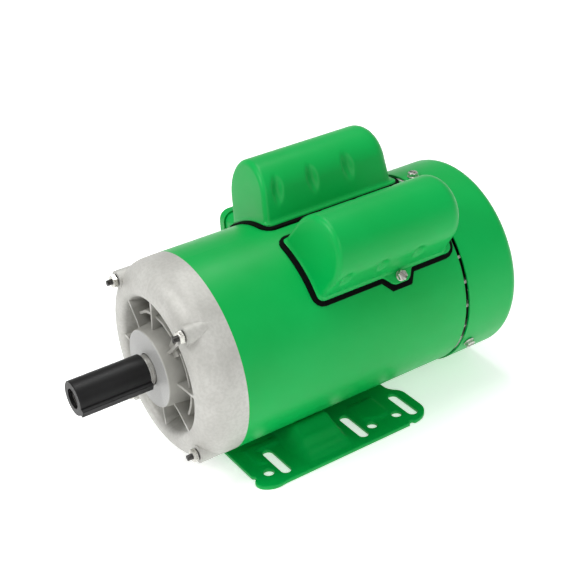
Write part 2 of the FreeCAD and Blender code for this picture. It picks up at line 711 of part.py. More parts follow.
def make_shaft_sleeve():
    """Moulded cap pushed over the keyed extension, with a hole in its end wall."""
    inside = D.extension_radius + 0.05
    body = new_body("shaft_sleeve", turn=DIMENSIONS["key_angle"])
    revolve(body, [
        (D.sleeve_end_at, D.sleeve_hole_radius), (D.sleeve_end_at, D.sleeve_radius - 0.6),
        (D.sleeve_end_at + 0.6, D.sleeve_radius), (D.sleeve_rear_at - 0.8, D.sleeve_radius),
        (D.sleeve_rear_at, D.sleeve_radius - 0.8), (D.sleeve_rear_at, inside),
        (D.shaft_end_at - 0.4, inside), (D.shaft_end_at - 0.4, D.sleeve_hole_radius),
    ])
    half = 3.4
    slab(body, D.sleeve_end_at, D.sleeve_rear_at, lambda s: add_polygon(s, [
        (-half, 12.4), (half, 12.4), (half, D.sleeve_ridge - 0.5), (half - 0.5, D.sleeve_ridge),
        (0.5 - half, D.sleeve_ridge), (-half, D.sleeve_ridge - 0.5)]))
    groove_half = D.key_width / 2 + 0.05
    top = D.extension_radius + D.key_height / 2 + 0.08
    carve(body, D.shaft_end_at - 0.4, D.sleeve_rear_at + 1, lambda s: add_polygon(s, [
        (-groove_half, 9.0), (groove_half, 9.0), (groove_half, top), (-groove_half, top)]))
    return body


def make_shaft_seal():
    """Lip seal held in the hub, running on the shaft journal."""
    return turned("shaft_seal", [
        (-118.1, 13.4), (-118.1, 16.95), (-112.2, 16.95), (-112.2, 15.6), (-116.6, 15.6),
        (-116.6, 14.4), (-113.6, D.journal_radius + 0.6), (-114.2, D.journal_radius + 0.05),
        (-115.0, D.journal_radius + 0.05),
    ])


# --------------------------------------------------------------------------------------
# Rotor, stator and windings
# --------------------------------------------------------------------------------------
def make_rotor_core():
    body = turned("rotor_core", [
        (D.stack_front_at, D.rotor_seat_radius + 0.005), (D.stack_front_at, D.rotor_radius),
        (D.stack_rear_at, D.rotor_radius), (D.stack_rear_at, D.rotor_seat_radius + 0.005),
    ])
    bar = carve(body, D.stack_front_at - 1, D.stack_rear_at + 1, lambda s: bar_outline(s, 0.03))
    around(body, [bar], 24)
    return body


def bar_outline(sketch, grow):
    """Cross-section of one cast rotor bar, under the surface of the core."""
    grow = size(grow)
    add_polygon(sketch, [
        (-1.2 - grow, 32.0 - grow), (1.2 + grow, 32.0 - grow), (2.6 + grow, 41.0),
        (2.0 + grow, 43.6 + grow), (-2.0 - grow, 43.6 + grow), (-2.6 - grow, 41.0),
    ])


def make_rotor_cage():
    """End rings, fins and bars, cast in one piece through the rotor core."""
    body = turned("rotor_cage", [
        (D.stack_front_at - 9.0, 31.0), (D.stack_front_at - 9.0, 43.4),
        (D.stack_front_at - 0.02, 44.6), (D.stack_front_at - 0.02, 30.0),
    ])
    revolve(body, [
        (D.stack_rear_at + 0.02, 30.0), (D.stack_rear_at + 0.02, 44.6),
        (D.stack_rear_at + 9.0, 43.4), (D.stack_rear_at + 9.0, 31.0),
    ])
    bar = slab(body, D.stack_front_at - 1, D.stack_rear_at + 1, lambda s: bar_outline(s, 0))
    around(body, [bar], 24)
    fins = []
    for start in (D.stack_front_at - 15.0, D.stack_rear_at + 8.0):
        fins.append(slab(body, start, start + 7.0, lambda s: add_polygon(
            s, [(-1.1, 34.0), (1.1, 34.0), (1.1, 42.0), (-1.1, 42.0)])))
    around(body, fins, 12)
    return body


def make_stator_core():
    bore = D.rotor_radius + D.air_gap
    body = turned("stator_core", [
        (D.stack_front_at, bore), (D.stack_front_at, D.stator_radius),
        (D.stack_rear_at, D.stator_radius), (D.stack_rear_at, bore),
    ])
    half = D.slot_width / 2
    slot = carve(body, D.stack_front_at - 1, D.stack_rear_at + 1, lambda s: add_polygon(s, [
        (-1.0, bore - 1), (1.0, bore - 1), (1.0, bore + 1.4), (half, bore + 3.4),
        (half + 0.6, D.slot_floor_radius), (-half - 0.6, D.slot_floor_radius), (-half, bore + 3.4),
        (-1.0, bore + 1.4)]))
    around(body, [slot], D.slot_count)
    carve(body, D.stack_front_at - 1, D.stack_rear_at + 1, lambda s: [
        add_circle(s, *along(D.stator_radius - 2.4, a), 5.4) for a in (45, 135, 225, 315)])
    return body


def winding(label, ring, step, inner, outer):
    """One winding: both end-turn bundles and the coil sides lying in its slots."""
    body = new_body(label)
    for side, face in ((-1, D.stack_front_at), (1, D.stack_rear_at)):
        revolve(body, [(face + side * size(a), r) for a, r in ring])
    half = D.slot_width / 2 - 0.35
    bar = slab(body, D.stack_front_at - 5, D.stack_rear_at + 5, lambda s: add_polygon(s, [
        (-half, inner), (half, inner), (half + 0.3, outer), (-half - 0.3, outer)]))
    around(body, [bar], int(DIMENSIONS["slot_count"]) // step)
    return body


def make_main_winding():
    ring = [(3.0, 58.5), (3.0, 69.0), (8.0, 71.4), (20.0, 71.9), (26.0, 69.5), (28.0, 66.0),
            (26.0, 62.0), (18.0, 59.6), (8.0, 58.5)]
    return winding("main_winding", ring, 1, D.rotor_radius + 12.5, D.slot_floor_radius - 0.6)


def make_start_winding():
    ring = [(3.0, 51.5), (3.0, 57.6), (18.0, 58.6), (23.0, 57.6), (25.0, 54.5), (22.0, 51.8)]
    return winding("start_winding", ring, 2, D.rotor_radius + 5.8, D.rotor_radius + 11.4)


def make_winding_lacing():
    """Lacing cord bands drawn round the main end turns."""
    pieces = []
    for name, face, side in (("front", D.stack_front_at, -1), ("rear", D.stack_rear_at, 1)):
        station = face + side * 13.0
        pieces.append(turned("lacing_" + name, [
            (station - 1.5, 71.95), (station - 1.5, 72.8), (station + 1.5, 72.8), (station + 1.5, 71.95)]))
    return gather("winding_lacing", pieces)


# --------------------------------------------------------------------------------------
# Bearings
# --------------------------------------------------------------------------------------
def make_bearing(name, front, bore, ring, width, ball, count):
    """Deep-groove ball bearing: outer race, inner race, balls and cage."""
    count = int(count.value)
    pitch = (bore + ring) / 2
    middle = front + width / 2
    step = ball * 0.62
    shoulder = ball * 0.80
    groove_clear = ball + 0.03
    races = []
    for label, wall, sign in (("outer", ring, 1), ("inner", bore, -1)):
        edge = pitch + sign * step
        skin = wall - sign * 0.005 if sign > 0 else wall + 0.005
        races.append(turned("%s_bearing_%s" % (name, label), [
            (front, skin), (front + width, skin), (front + width, edge),
            (middle + shoulder, edge), (middle + ball * 0.5, pitch + sign * groove_clear * 0.9),
            (middle + ball * 0.16, pitch + sign * groove_clear * 1.0),
            (middle - ball * 0.16, pitch + sign * groove_clear * 1.0),
            (middle - ball * 0.5, pitch + sign * groove_clear * 0.9),
            (middle - shoulder, edge), (front, edge),
        ]))
    balls = []
    for i in range(count):
        item = doc.addObject("Part::Sphere", "%s_ball_%d" % (name, i))
        bind(item, "Radius", ball - 0.02)
        x, z = along(pitch, 360.0 / count * i)
        balls.append(place(item, x, middle, z, UPRIGHT))
    balls = gather(name + "_bearing_balls", balls)
    ring_body = turned(name + "_cage_ring", [
        (middle - ball - 1.3, pitch - 0.7), (middle + ball + 1.3, pitch - 0.7),
        (middle + ball + 1.3, pitch + 0.7), (middle - ball - 1.3, pitch + 0.7)])
    pockets = []
    for i in range(count):
        angle = 360.0 / count * i
        x, z = along(pitch - 2, angle)
        pockets.append(cylinder("%s_cage_pocket_%d" % (name, i), ball + 0.15, 4.0, x, middle, z,
                                facing(angle)))
    cage = cut(name + "_bearing_cage", ring_body, pockets)
    return races + [balls, cage]


def make_wave_spring():
    """Preload washer between the rear bearing and its seat."""
    start = D.rear_bearing_at + D.rear_width + 0.15
    return turned("wave_spring", [
        (start, 15.0), (start, 19.6), (start + 0.9, 19.6), (start + 0.9, 15.0)])


# --------------------------------------------------------------------------------------
# Centrifugal governor and starting switch
# --------------------------------------------------------------------------------------
def make_governor_plate():
    body = turned("governor_plate", [
        (74.0, 14.005), (74.0, 17.5), (78.0, 17.5), (78.0, 31.0), (79.6, 31.0), (79.6, 17.5),
        (82.0, 17.5), (82.0, 14.005)])
    for side in (-1, 1):
        for ear in (-11.4, 10.2):
            sketch = new_sketch(body, "YZ_Plane", ear)
            add_polygon(sketch, [(79.0, side * 24.0), (79.0, side * 31.0), (85.0, side * 31.0),
                                 (85.0, side * 24.0)])
            pad(body, sketch, 1.2)
    return body


def make_governor_weight(label, side):
    """A hinged flyweight; its pivot runs across the shaft at radius 28, station 83."""
    body = new_body(label)
    sketch = new_sketch(body, "YZ_Plane")
    add_polygon(sketch, [(81.0, side * 26.0), (81.0, side * 36.0), (84.0, side * 39.0),
                         (95.0, side * 39.0), (95.0, side * 32.0), (86.0, side * 26.0)])
    pad(body, sketch, 19.6, middle=True)
    return body


def make_governor_springs():
    """Two tension springs beside the collar, drawn as closed coils on their hooks."""
    pieces = []
    for side in (-1, 1):
        for i in range(9):
            item = doc.addObject("Part::Torus", "governor_coil_%d_%d" % (side, i))
            bind(item, "Radius1", 2.3)
            bind(item, "Radius2", 0.48)
            pieces.append(place(item, side * 23.0, 85.2, -4.0 + i, UPRIGHT))
    return gather("governor_springs", pieces)


def make_governor_collar():
    """Sliding collar whose rear flange works the switch lever."""
    return turned("governor_collar", [
        (86.6, 14.06), (86.6, 17.6), (96.0, 17.6), (96.0, 27.0), (98.6, 27.0), (98.6, 14.06)])


def make_switch_board():
    body = new_body("switch_board")
    slab(body, 104.4, 106.4, lambda s: add_polygon(
        s, [along(r, a) for r, a in arc_window(-52, 52, 33.0, 58.0)]))
    carve(body, 104.0, 107.0, lambda s: [add_circle(s, *along(50.0, a), 2.2) for a in (-38, 38)])
    return body


def make_switch_posts():
    """Two spacers that carry the switch board in front of the rear bell."""
    return gather("switch_posts", [cut("switch_post_%d" % a, cylinder(
        "post_rod_%d" % a, 4.0, 13.6, *post_spot(a, 106.6)), [cylinder(
            "post_bore_%d" % a, 2.2, 16, *post_spot(a, 106.0))]) for a in (-38, 38)])


def post_spot(angle, station):
    x, z = along(50.0, angle)
    return x, station, z


def make_switch_screws():
    pieces = []
    for angle in (-38, 38):
        x, z = along(50.0, angle)
        shank = cylinder("switch_screw_shank_%d" % angle, 1.95, 15.0, x, 103.6, z)
        head = cylinder("switch_screw_head_%d" % angle, 3.8, 2.2, x, 101.9, z)
        slot = block("switch_screw_slot_%d" % angle, 9.0, 1.2, 1.0, x - 4.5, 101.2, z - 0.5)
        pieces.append(cut("switch_screw_%d" % angle, fuse("switch_screw_solid_%d" % angle,
                                                        [shank, head]), [slot]))
    return gather("switch_screws", pieces)


def make_switch_arm():
    """Spring lever; it pivots across the shaft at radius 44, station 102.6."""
    body = new_body("switch_arm")
    sketch = new_sketch(body, "YZ_Plane")
    add_polygon(sketch, [(98.9, 24.0), (101.8, 38.4), (101.8, 46.0), (103.4, 46.0),
                         (103.4, 37.6), (100.3, 24.0)])
    pad(body, sketch, 9.0, middle=True)
    return body


def make_switch_contacts():
    """Fixed contact strips and their blade terminals on the front of the board."""
    pieces = []
    for side in (-1, 1):
        pieces.append(block("contact_strip_%d" % side, 7.0, 1.2, 14.0, side * 15.0 - 3.5, 103.1, 38.0))
    return gather("switch_contacts", pieces)


# --------------------------------------------------------------------------------------
# Capacitors, their covers and gaskets.  Each stands in a frame turned about the shaft:
# its X runs round the shell and its Z straight out from the shaft.
# --------------------------------------------------------------------------------------
def add_arch(sketch, radius, foot, centre):
    """Upright tunnel section: flat foot, straight sides and a round top."""
    radius, foot, centre = size(radius), size(foot), size(centre)
    r, f, c = radius.value, foot.value, centre.value
    corners = [V(-r, c, 0), V(-r, f, 0), V(r, f, 0), V(r, c, 0)]
    lines = [Part.LineSegment(corners[i], corners[i + 1]) for i in range(3)]
    top = Part.ArcOfCircle(Part.Circle(V(0, c, 0), V(0, 0, 1), r), 0, math.pi)
    left, base, right, arc = sketch.addGeometry(lines + [top], False)
    for one, two in ((left, base), (base, right), (right, arc), (arc, left)):
        sketch.addConstraint(Sketcher.Constraint("Coincident", one, 2, two, 1))
    pin_point(sketch, arc, 3, (0, centre))
    pin_point(sketch, base, 1, (-radius, foot))
    pin_point(sketch, base, 2, (radius, foot))
    index = sketch.addConstraint(Sketcher.Constraint("Radius", arc, r))
    sketch.setExpression("Constraints[%d]" % index, radius.text)
    for end in (1, 2):
        sketch.addConstraint(Sketcher.Constraint("Horizontal", arc, end, arc, 3))


def dome(label, angle, inset):
    """The rounded tunnel of a cover, or of its hollow when inset by the wall."""
    inset = size(inset)
    radius = D.can_radius - inset
    front = D.can_front_at + inset
    rear = D.can_rear_at - inset
    body = new_body(label, turn=angle)
    slab(body, front - 5, rear, lambda s: add_arch(s, radius, 60.0, D.can_centre))
    slope = D.can_slope / 45
    sketch = new_sketch(body, "YZ_Plane")
    add_polygon(sketch, [(front - 12, 60), (front - 25 * slope, 60), (front + 55 * slope, 140),
                         (front - 12, 140)])
    pocket(body, sketch, 90, middle=True)

    def face_rim(first, last):
        return lambda edge: all(first < vertex.Point.y < last for vertex in edge.Vertexes) \
            and edge.CenterOfMass.z > 61

    round_edges(body, 6.0 - inset, face_rim(front.value - 7, front.value + 12))
    round_edges(body, 9.5 - inset, face_rim(rear.value - 0.1, rear.value + 0.1))
    core = D.shell_radius + D.gasket_thick + 0.05
    groove(body, [(front - 15, 0), (rear + 5, 0), (rear + 5, core), (front - 15, core)])
    return body


def off_axis_ring(station, radius):
    """Picks circular edges of one radius at one station, wherever their centre is."""
    station, radius = size(station).value, size(radius).value

    def chosen(edge):
        curve = edge.Curve
        if not isinstance(curve, Part.Circle):
            return False
        return abs(curve.Center.y - station) < 0.05 and abs(curve.Radius - radius) < 0.05

    return chosen


def dimples(label, angle, grow):
    """Six oval dimples pressed into the sides of a cover to steady the capacitor."""
    pieces = []
    turn = math.radians(angle)
    for side in (-1, 1):
        for i in range(3):
            item = doc.addObject("Part::Ellipsoid", "%s_%d_%d" % (label, side, i))
            bind(item, "Radius1", 12.6 + size(grow))
            bind(item, "Radius2", 5.0 + size(grow))
            bind(item, "Radius3", 5.6 + size(grow))
            reach = side * (DIMENSIONS["can_radius"] + 2.6)
            x = reach * math.cos(turn) + 105.6 * math.sin(turn)
            z = 105.6 * math.cos(turn) - reach * math.sin(turn)
            pieces.append(place(item, x, 8.2 + i * D.dimple_pitch, z, facing(angle)))
    return pieces


def rounded_corner(x, y, inward, along_y, radius):
    """Points round a corner of an outline, from its side of constant x to its end."""
    for degrees in (0, 22.5, 45, 67.5, 90):
        turn = math.radians(degrees)
        yield x + radius * (inward * (1 - math.cos(turn))), y + radius * (along_y * (1 - math.sin(turn)))


def skirt_outline(side, grow, front_grow):
    """Edge of a cover's flange, or of its gasket when grown, with the screw tab."""
    half = D.flange_half + grow
    front = D.flange_front_at - front_grow
    rear = D.flange_rear_at + grow
    tab = D.tab_reach + grow
    at = D.tab_screw_at
    corner = D.flange_round + grow
    outline = list(rounded_corner(-half, front, 1, 1, corner))
    outline += reversed(list(rounded_corner(half, front, -1, 1, corner)))
    outline += [(half, at - 15.5 - grow / 2), (tab, at - 7.5 - grow / 2),
                (tab, at + 7.5 + grow / 2), (half, at + 12.5 + grow / 2)]
    outline += rounded_corner(half, rear, -1, -1, corner)
    outline += reversed(list(rounded_corner(-half, rear, 1, -1, corner)))
    return [(side * x, y) for x, y in outline]


def skirt(label, angle, outline, inner, outer):
    """A curved frame lying on the shell between two radii."""
    body = new_body(label, turn=angle)
    sketch = new_sketch(body, "XY_Plane", size(60.0))
    add_polygon(sketch, outline)
    pad(body, sketch, 40.0)
    groove(body, [(-30, 0), (140, 0), (140, inner), (-30, inner)])
    groove(body, [(-30, outer), (140, outer), (140, size(outer) + 40), (-30, size(outer) + 40)])
    return body


def make_cover(name, angle, side):
    label = name + "_capacitor_cover"
    seat = D.shell_radius + D.gasket_thick + 0.05
    outer = cut(label + "_dome", dome(label + "_outside", angle, 0),
                dimples(label + "_dimple", angle, 0))
    hollow = cut(label + "_hollow", dome(label + "_inside", angle, D.can_wall),
                 dimples(label + "_bump", angle, D.can_wall))
    flange = skirt(label + "_flange", angle, skirt_outline(side, size(0), size(0)), seat,
                   seat + D.flange_thick)
    drill = radial_hole(label + "_drill", 2.1, screw_angle(angle, side), D.tab_screw_at)
    solid = fuse(label + "_solid", [outer, flange])
    open_below = cut(label + "_open", solid, [hollow])
    return cut(label, open_below, [drill])


def make_gasket(name, angle, side):
    label = name + "_cover_gasket"
    outline = skirt_outline(side, D.gasket_margin, D.gasket_front_margin)
    body = skirt(label + "_sheet", angle, outline, D.shell_radius + 0.05,
                 D.shell_radius + D.gasket_thick - 0.02)
    sketch = new_sketch(body, "XY_Plane", size(60.0))
    add_polygon(sketch, [(-25.0, -2.5), (25.0, -2.5), (25.0, 117.5), (-25.0, 117.5)])
    pocket(body, sketch, 60, reverse=True)
    drill = radial_hole(label + "_drill", 2.1, screw_angle(angle, side), D.tab_screw_at)
    return cut(label, body, [drill])


def turned_screw(label, angle, station, seat, length):
    """A hex washer-head screw standing straight out from the shaft, slotted across."""
    seat = size(seat)
    shank = cylinder(label + "_shank", 1.7, length, *radial_spot(seat - length + 1, angle, station),
                     facing(angle))
    collar = cylinder(label + "_collar", 4.5, 0.9, *radial_spot(seat, angle, station), facing(angle))
    head = hexagon(label + "_head", 7.6, 3.1, *radial_spot(seat + 0.8, angle, station), facing(angle))
    turn = math.radians(angle)
    x, y, z = radial_spot(seat + 2.9, angle, station)
    slot = block(label + "_slot", 9.0, 1.1, 2.0, x - 4.5 * math.cos(turn), y - 0.55,
                 z + 4.5 * math.sin(turn), facing(angle))
    return cut(label, fuse(label + "_solid", [shank, collar, head]), [slot])


def radial_spot(reach, angle, station):
    x, z = along(reach, angle)
    return x, size(station), z


def make_cover_screws():
    seat = D.shell_radius + D.gasket_thick + D.flange_thick + 0.07
    return gather("cover_screws", [
        turned_screw("cover_fixing_" + name, screw_angle(angle, side), D.tab_screw_at, seat, 8.0)
        for name, angle, side in CAPACITORS])


def make_capacitor(name, angle, radius, front, rear):
    """A round capacitor lying along the shell inside its cover."""
    body = new_body(name + "_capacitor", turn=angle)
    centre = D.shell_radius + 0.7 + radius
    slab(body, front, rear, lambda s: add_circle(s, 0, centre, radius))
    slab(body, rear, rear + 1.6, lambda s: add_circle(s, 0, centre, radius - 2.4))
    round_edges(body, 1.4, off_axis_ring(front, radius))
    for across in (-6.5, 6.5):
        slab(body, rear + 1, rear + 9, lambda s: add_polygon(s, [
            (across - 3.1, centre - 0.4), (across + 3.1, centre - 0.4),
            (across + 3.1, centre + 0.4), (across - 3.1, centre + 0.4)]))
    return body


def make_lead_grommets():
    """Rubber bushes in the shell where the capacitor leads pass."""
    pieces = []
    for name, angle, side in CAPACITORS:
        at = radial_spot(D.shell_radius - 3.4, angle, D.lead_hole_at)
        rim = radial_spot(D.shell_radius - 4.6, angle, D.lead_hole_at)
        bush = cylinder("grommet_bush_" + name, 7.8, 3.7, *at, facing(angle))
        lip = cylinder("grommet_lip_" + name, 9.6, 1.4, *rim, facing(angle))
        deep = radial_spot(D.shell_radius - 8, angle, D.lead_hole_at)
        bore = cylinder("grommet_bore_" + name, 5.0, 12.0, *deep, facing(angle))
        pieces.append(cut("grommet_" + name, fuse("grommet_solid_" + name, [bush, lip]), [bore]))
    return gather("lead_grommets", pieces)


# --------------------------------------------------------------------------------------
# Terminal box.  Its frame is turned so that its X is the row's Z and its Z points to -X.
# --------------------------------------------------------------------------------------
def box_block(label, inset, low, high, core):
    """The box's outside, or its hollow when inset by the wall."""
    body = new_body(label, turn=-90.0)
    half = D.box_half_height - inset
    front, rear = D.box_front_at + inset, D.box_rear_at - inset
    sketch = new_sketch(body, "XY_Plane", size(low))
    add_polygon(sketch, [(-half, front), (half, front), (half, rear), (-half, rear)])
    pad(body, sketch, size(high) - low)
    if inset < D.box_round.value:
        round_edges(body, D.box_round - inset, lambda e: abs(e.tangentAt(e.FirstParameter).z) > 0.99)
    if core is not None:
        groove(body, [(0, 0), (130, 0), (130, core), (0, core)])
    return body


def make_terminal_box():
    wall = DIMENSIONS["box_wall"]
    reach = -D.box_outer_at
    core = D.shell_radius + 0.05
    outside = box_block("terminal_box_outside", 0, 60.0, reach, core)
    hollow = box_block("terminal_box_hollow", wall, 60.0, reach + 2, core + wall)
    shell = cut("terminal_box_walls", outside, [hollow])
    bosses = [cylinder("box_boss_%d" % i, 4.2, 14.0, -(reach - 0.01), y, z, facing(90.0))
              for i, (y, z) in enumerate(lid_corners())]
    taps = [cylinder("box_tap_%d" % i, 1.75, 20.0, -(reach + 1), y, z, facing(90.0))
            for i, (y, z) in enumerate(lid_corners())]
    taps.append(radial_hole("box_lead_hole", 11.0, -90.0, BOX_LEAD_AT))
    x, y = conduit_spot()
    taps.append(cylinder("conduit_hole", D.conduit_radius + 0.5, 12.0, x, y,
                         -(D.box_half_height + 6), UPRIGHT))
    return cut("terminal_box", fuse("terminal_box_solid", [shell] + bosses), taps)


def conduit_spot():
    return D.box_outer_at + 20.5, (D.box_front_at + D.box_rear_at) / 2


def make_conduit_hub():
    """Bored hub welded round the conduit hole under the terminal box."""
    x, y = conduit_spot()
    low = -(D.box_half_height + D.conduit_hub_length)
    ring = cylinder("conduit_hub_ring", D.conduit_radius + 2.9, D.conduit_hub_length, x, y, low, UPRIGHT)
    bore = cylinder("conduit_hub_bore", D.conduit_radius, D.conduit_hub_length + 4, x, y, low - 2,
                    UPRIGHT)
    return cut("conduit_hub", ring, [bore])


def lid_corners():
    inset = 5.5
    for y in (D.box_front_at + inset, D.box_rear_at - inset):
        for z in (D.box_half_height - inset, -(D.box_half_height - inset)):
            yield y, z


def make_box_gasket():
    reach = -D.box_outer_at
    outside = box_block("box_gasket_outside", 0.3, reach + 0.02, reach + 1.0, None)
    hollow = box_block("box_gasket_hollow", 5.0, reach - 1, reach + 2, None)
    holes = [cylinder("box_gasket_hole_%d" % i, 2.2, 6.0, -(reach + 3), y, z, facing(90.0))
             for i, (y, z) in enumerate(lid_corners())]
    return cut("terminal_box_gasket", outside, [hollow] + holes)


def make_box_lid():
    """Pressed lid with a skirt that laps over the box walls."""
    reach = -D.box_outer_at
    outside = box_block("lid_outside", -1.6, reach - 6.0, reach + 2.6, None)
    round_edges(outside, 2.0, lambda e: abs(e.CenterOfMass.z - (reach.value + 2.6)) < 0.01)
    hollow = box_block("lid_hollow", -0.3, reach - 8.0, reach + 1.02, None)
    holes = [cylinder("lid_hole_%d" % i, 2.1, 8.0, -(reach + 5), y, z, facing(90.0))
             for i, (y, z) in enumerate(lid_corners())]
    return cut("terminal_box_lid", outside, [hollow] + holes)


def make_lid_screws():
    reach = -D.box_outer_at
    pieces = []
    for i, (y, z) in enumerate(lid_corners()):
        shank = cylinder("lid_shank_%d" % i, 1.7, 11.0, -(reach + 3.2), y, z, facing(90.0))
        head = cylinder("lid_head_%d" % i, 3.6, 2.2, -(reach + 4.85), y, z, facing(90.0))
        slot = block("lid_slot_%d" % i, 1.4, 1.1, 9.0, -(reach + 5.0), y - 0.55, z - 4.5)
        pieces.append(cut("lid_screw_%d" % i, fuse("lid_screw_solid_%d" % i, [shank, head]), [slot]))
    return gather("lid_screws", pieces)


def make_terminal_board():
    """Insulating board on two feet, carrying six terminal studs."""
    body = new_body("terminal_board", turn=-90.0)
    sketch = new_sketch(body, "XY_Plane", size(93.0))
    add_polygon(sketch, [(6.0, 34.0), (32.0, 34.0), (32.0, 97.0), (6.0, 97.0)])
    pad(body, sketch, 3.2)
    for y in (36.0, 89.0):
        sketch = new_sketch(body, "XY_Plane", size(70.0))
        add_polygon(sketch, [(8.0, y), (30.0, y), (30.0, y + 6.0), (8.0, y + 6.0)])
        pad(body, sketch, 24.0)
    core = D.shell_radius + D.box_wall + 0.1
    groove(body, [(0, 0), (130, 0), (130, core), (0, core)])
    sketch = new_sketch(body, "XY_Plane", size(90.0))
    for y, z in stud_spots():
        add_circle(sketch, z, y, 2.45)
    pocket(body, sketch, 10, reverse=True)
    return body


def stud_spots():
    return [(48.0 + 17.5 * column, height) for height in (13.0, 25.0) for column in range(3)]


def make_terminal_studs():
    """Brass studs with their nuts, through the terminal board."""
    pieces = []
    for i, (y, z) in enumerate(stud_spots()):
        stud = cylinder("stud_rod_%d" % i, 2.4, 14.0, -104.0, y, z, facing(90.0))
        under = hexagon("stud_foot_%d" % i, 7.0, 2.4, -92.9, y, z, facing(90.0))
        nut = hexagon("stud_nut_%d" % i, 7.0, 2.6, -98.9, y, z, facing(90.0))
        pieces.append(fuse("stud_%d" % i, [stud, under, nut]))
    return gather("terminal_studs", pieces)


def make_ground_screw():
    shank = cylinder("ground_shank", 2.0, 7.0, -95.0, 46.0, -20.0, facing(90.0))
    head = hexagon("ground_head", 8.0, 3.0, -96.0, 46.0, -20.0, facing(90.0))
    pillar = cylinder("ground_pillar", 4.0, 11.0, -92.9, 46.0, -20.0, facing(90.0))
    core = cylinder("ground_core", D.shell_radius + D.box_wall + 0.1, 60.0, 0, 20.0, 0)
    return cut("ground_screw", fuse("ground_solid", [shank, head, pillar]), [core])


# --------------------------------------------------------------------------------------
# Through bolts
# --------------------------------------------------------------------------------------
BOLT_ANGLES = (45, 135, 225, 315)


def bolt_spot(angle, station):
    return radial_spot(D.bolt_pitch_radius, angle, station)


def make_through_bolts():
    pieces = []
    for angle in BOLT_ANGLES:
        tip = D.seat_at - 8.9
        rod = cylinder("bolt_rod_%d" % angle, D.bolt_radius, 131.0 - tip, *bolt_spot(angle, tip))
        head = hexagon("bolt_head_%d" % angle, 8.6, 3.4, *bolt_spot(angle, 130.7))
        pieces.append(fuse("through_bolt_%d" % angle, [rod, head]))
    return gather("through_bolts", pieces)


def make_bolt_nuts():
    pieces = []
    start = D.seat_at - D.washer_thick - D.nut_thick
    for angle in BOLT_ANGLES:
        nut = hexagon("nut_blank_%d" % angle, D.nut_flats, D.nut_thick, *bolt_spot(angle, start))
        hole = cylinder("nut_hole_%d" % angle, D.bolt_radius + 0.03, 8.0, *bolt_spot(angle, start - 2))
        pieces.append(cut("nut_%d" % angle, nut, [hole]))
    return gather("bolt_nuts", pieces)


def make_lock_washers():
    pieces = []
    start = D.seat_at - D.washer_thick + 0.02
    for angle in BOLT_ANGLES:
        disc = cylinder("washer_disc_%d" % angle, 5.6, D.washer_thick - 0.04, *bolt_spot(angle, start))
        hole = cylinder("washer_hole_%d" % angle, 2.7, 6.0, *bolt_spot(angle, start - 2))
        pieces.append(cut("washer_%d" % angle, disc, [hole]))
    return gather("lock_washers", pieces)


# --------------------------------------------------------------------------------------
# Assembly
# --------------------------------------------------------------------------------------
def build_all():
    nodes = [
        make_shell(), make_base_plate(), make_base_saddle(),
        make_drive_end_bell(), make_rear_end_bell(),
        make_fan_cover(), make_fan_cover_screws(), make_cooling_fan(), make_fan_clip(),
        make_shaft(), make_shaft_key(), make_shaft_sleeve(), make_shaft_seal(),
        make_rotor_core(), make_rotor_cage(), make_stator_core(),
        make_main_winding(), make_start_winding(), make_winding_lacing(),
    ]
    nodes += make_bearing("drive", D.drive_bearing_at, D.drive_bore, D.drive_ring,
                          D.drive_width, D.drive_ball, D.drive_ball_count)
    nodes += make_bearing("rear", D.rear_bearing_at, D.rear_bore, D.rear_ring,
                          D.rear_width, D.rear_ball, D.rear_ball_count)
    nodes += [
        make_wave_spring(), make_governor_plate(),
        make_governor_weight("governor_weight_a", 1), make_governor_weight("governor_weight_b", -1),
        make_governor_springs(), make_governor_collar(),
        make_switch_board(), make_switch_posts(), make_switch_screws(), make_switch_arm(),
        make_switch_contacts(),
        make_capacitor("start", DIMENSIONS["start_can_angle"], D.start_cap_radius, 12.0, 98.0),
        make_capacitor("run", DIMENSIONS["run_can_angle"], D.run_cap_radius, 8.0, 96.0),
        make_lead_grommets(), make_cover_screws(),
    ]
    for name, angle, side in CAPACITORS:
        nodes += [make_cover(name, angle, side), make_gasket(name, angle, side)]
    nodes += [
        make_terminal_box(), make_conduit_hub(), make_box_gasket(), make_box_lid(), make_lid_screws(),
        make_terminal_board(), make_terminal_studs(), make_ground_screw(),
        make_through_bolts(), make_bolt_nuts(), make_lock_washers(),
    ]
    return nodes


def check_and_write(nodes):
    """Stops on any failed object or bad shape, then writes one file per node."""
    doc.recompute()
    for item in doc.Objects:
        if "Invalid" in item.State or "Error" in item.State:
            raise ValueError("failed object " + item.Label)
    for node in nodes:
        shape = node.Shape
        if shape.isNull() or not shape.isValid() or not shape.Solids:
            raise ValueError("bad shape " + node.Label)
    os.makedirs("parts", exist_ok=True)
    for node in nodes:
        node.Shape.exportStep("parts/%s.step" % node.Label)
        print(node.Label, len(node.Shape.Solids), round(node.Shape.Volume, 1))


if __name__ == "__main__":
    check_and_write(build_all())
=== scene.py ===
"""Looks for a foot-mounted, fan-cooled single-phase electric motor.

Everything is in metres in the row frame: +Z up, -Y towards the drive end, the shaft axis
AXIS above the mounting plane. Most CAD parts stay and get materials. The stamped base, the
humped covers and the outer fasteners are replaced by finer pieces of the same size.
"""

import json
import math

import bmesh
import bpy
from mathutils import Matrix, Vector
from mathutils.geometry import delaunay_2d_cdt


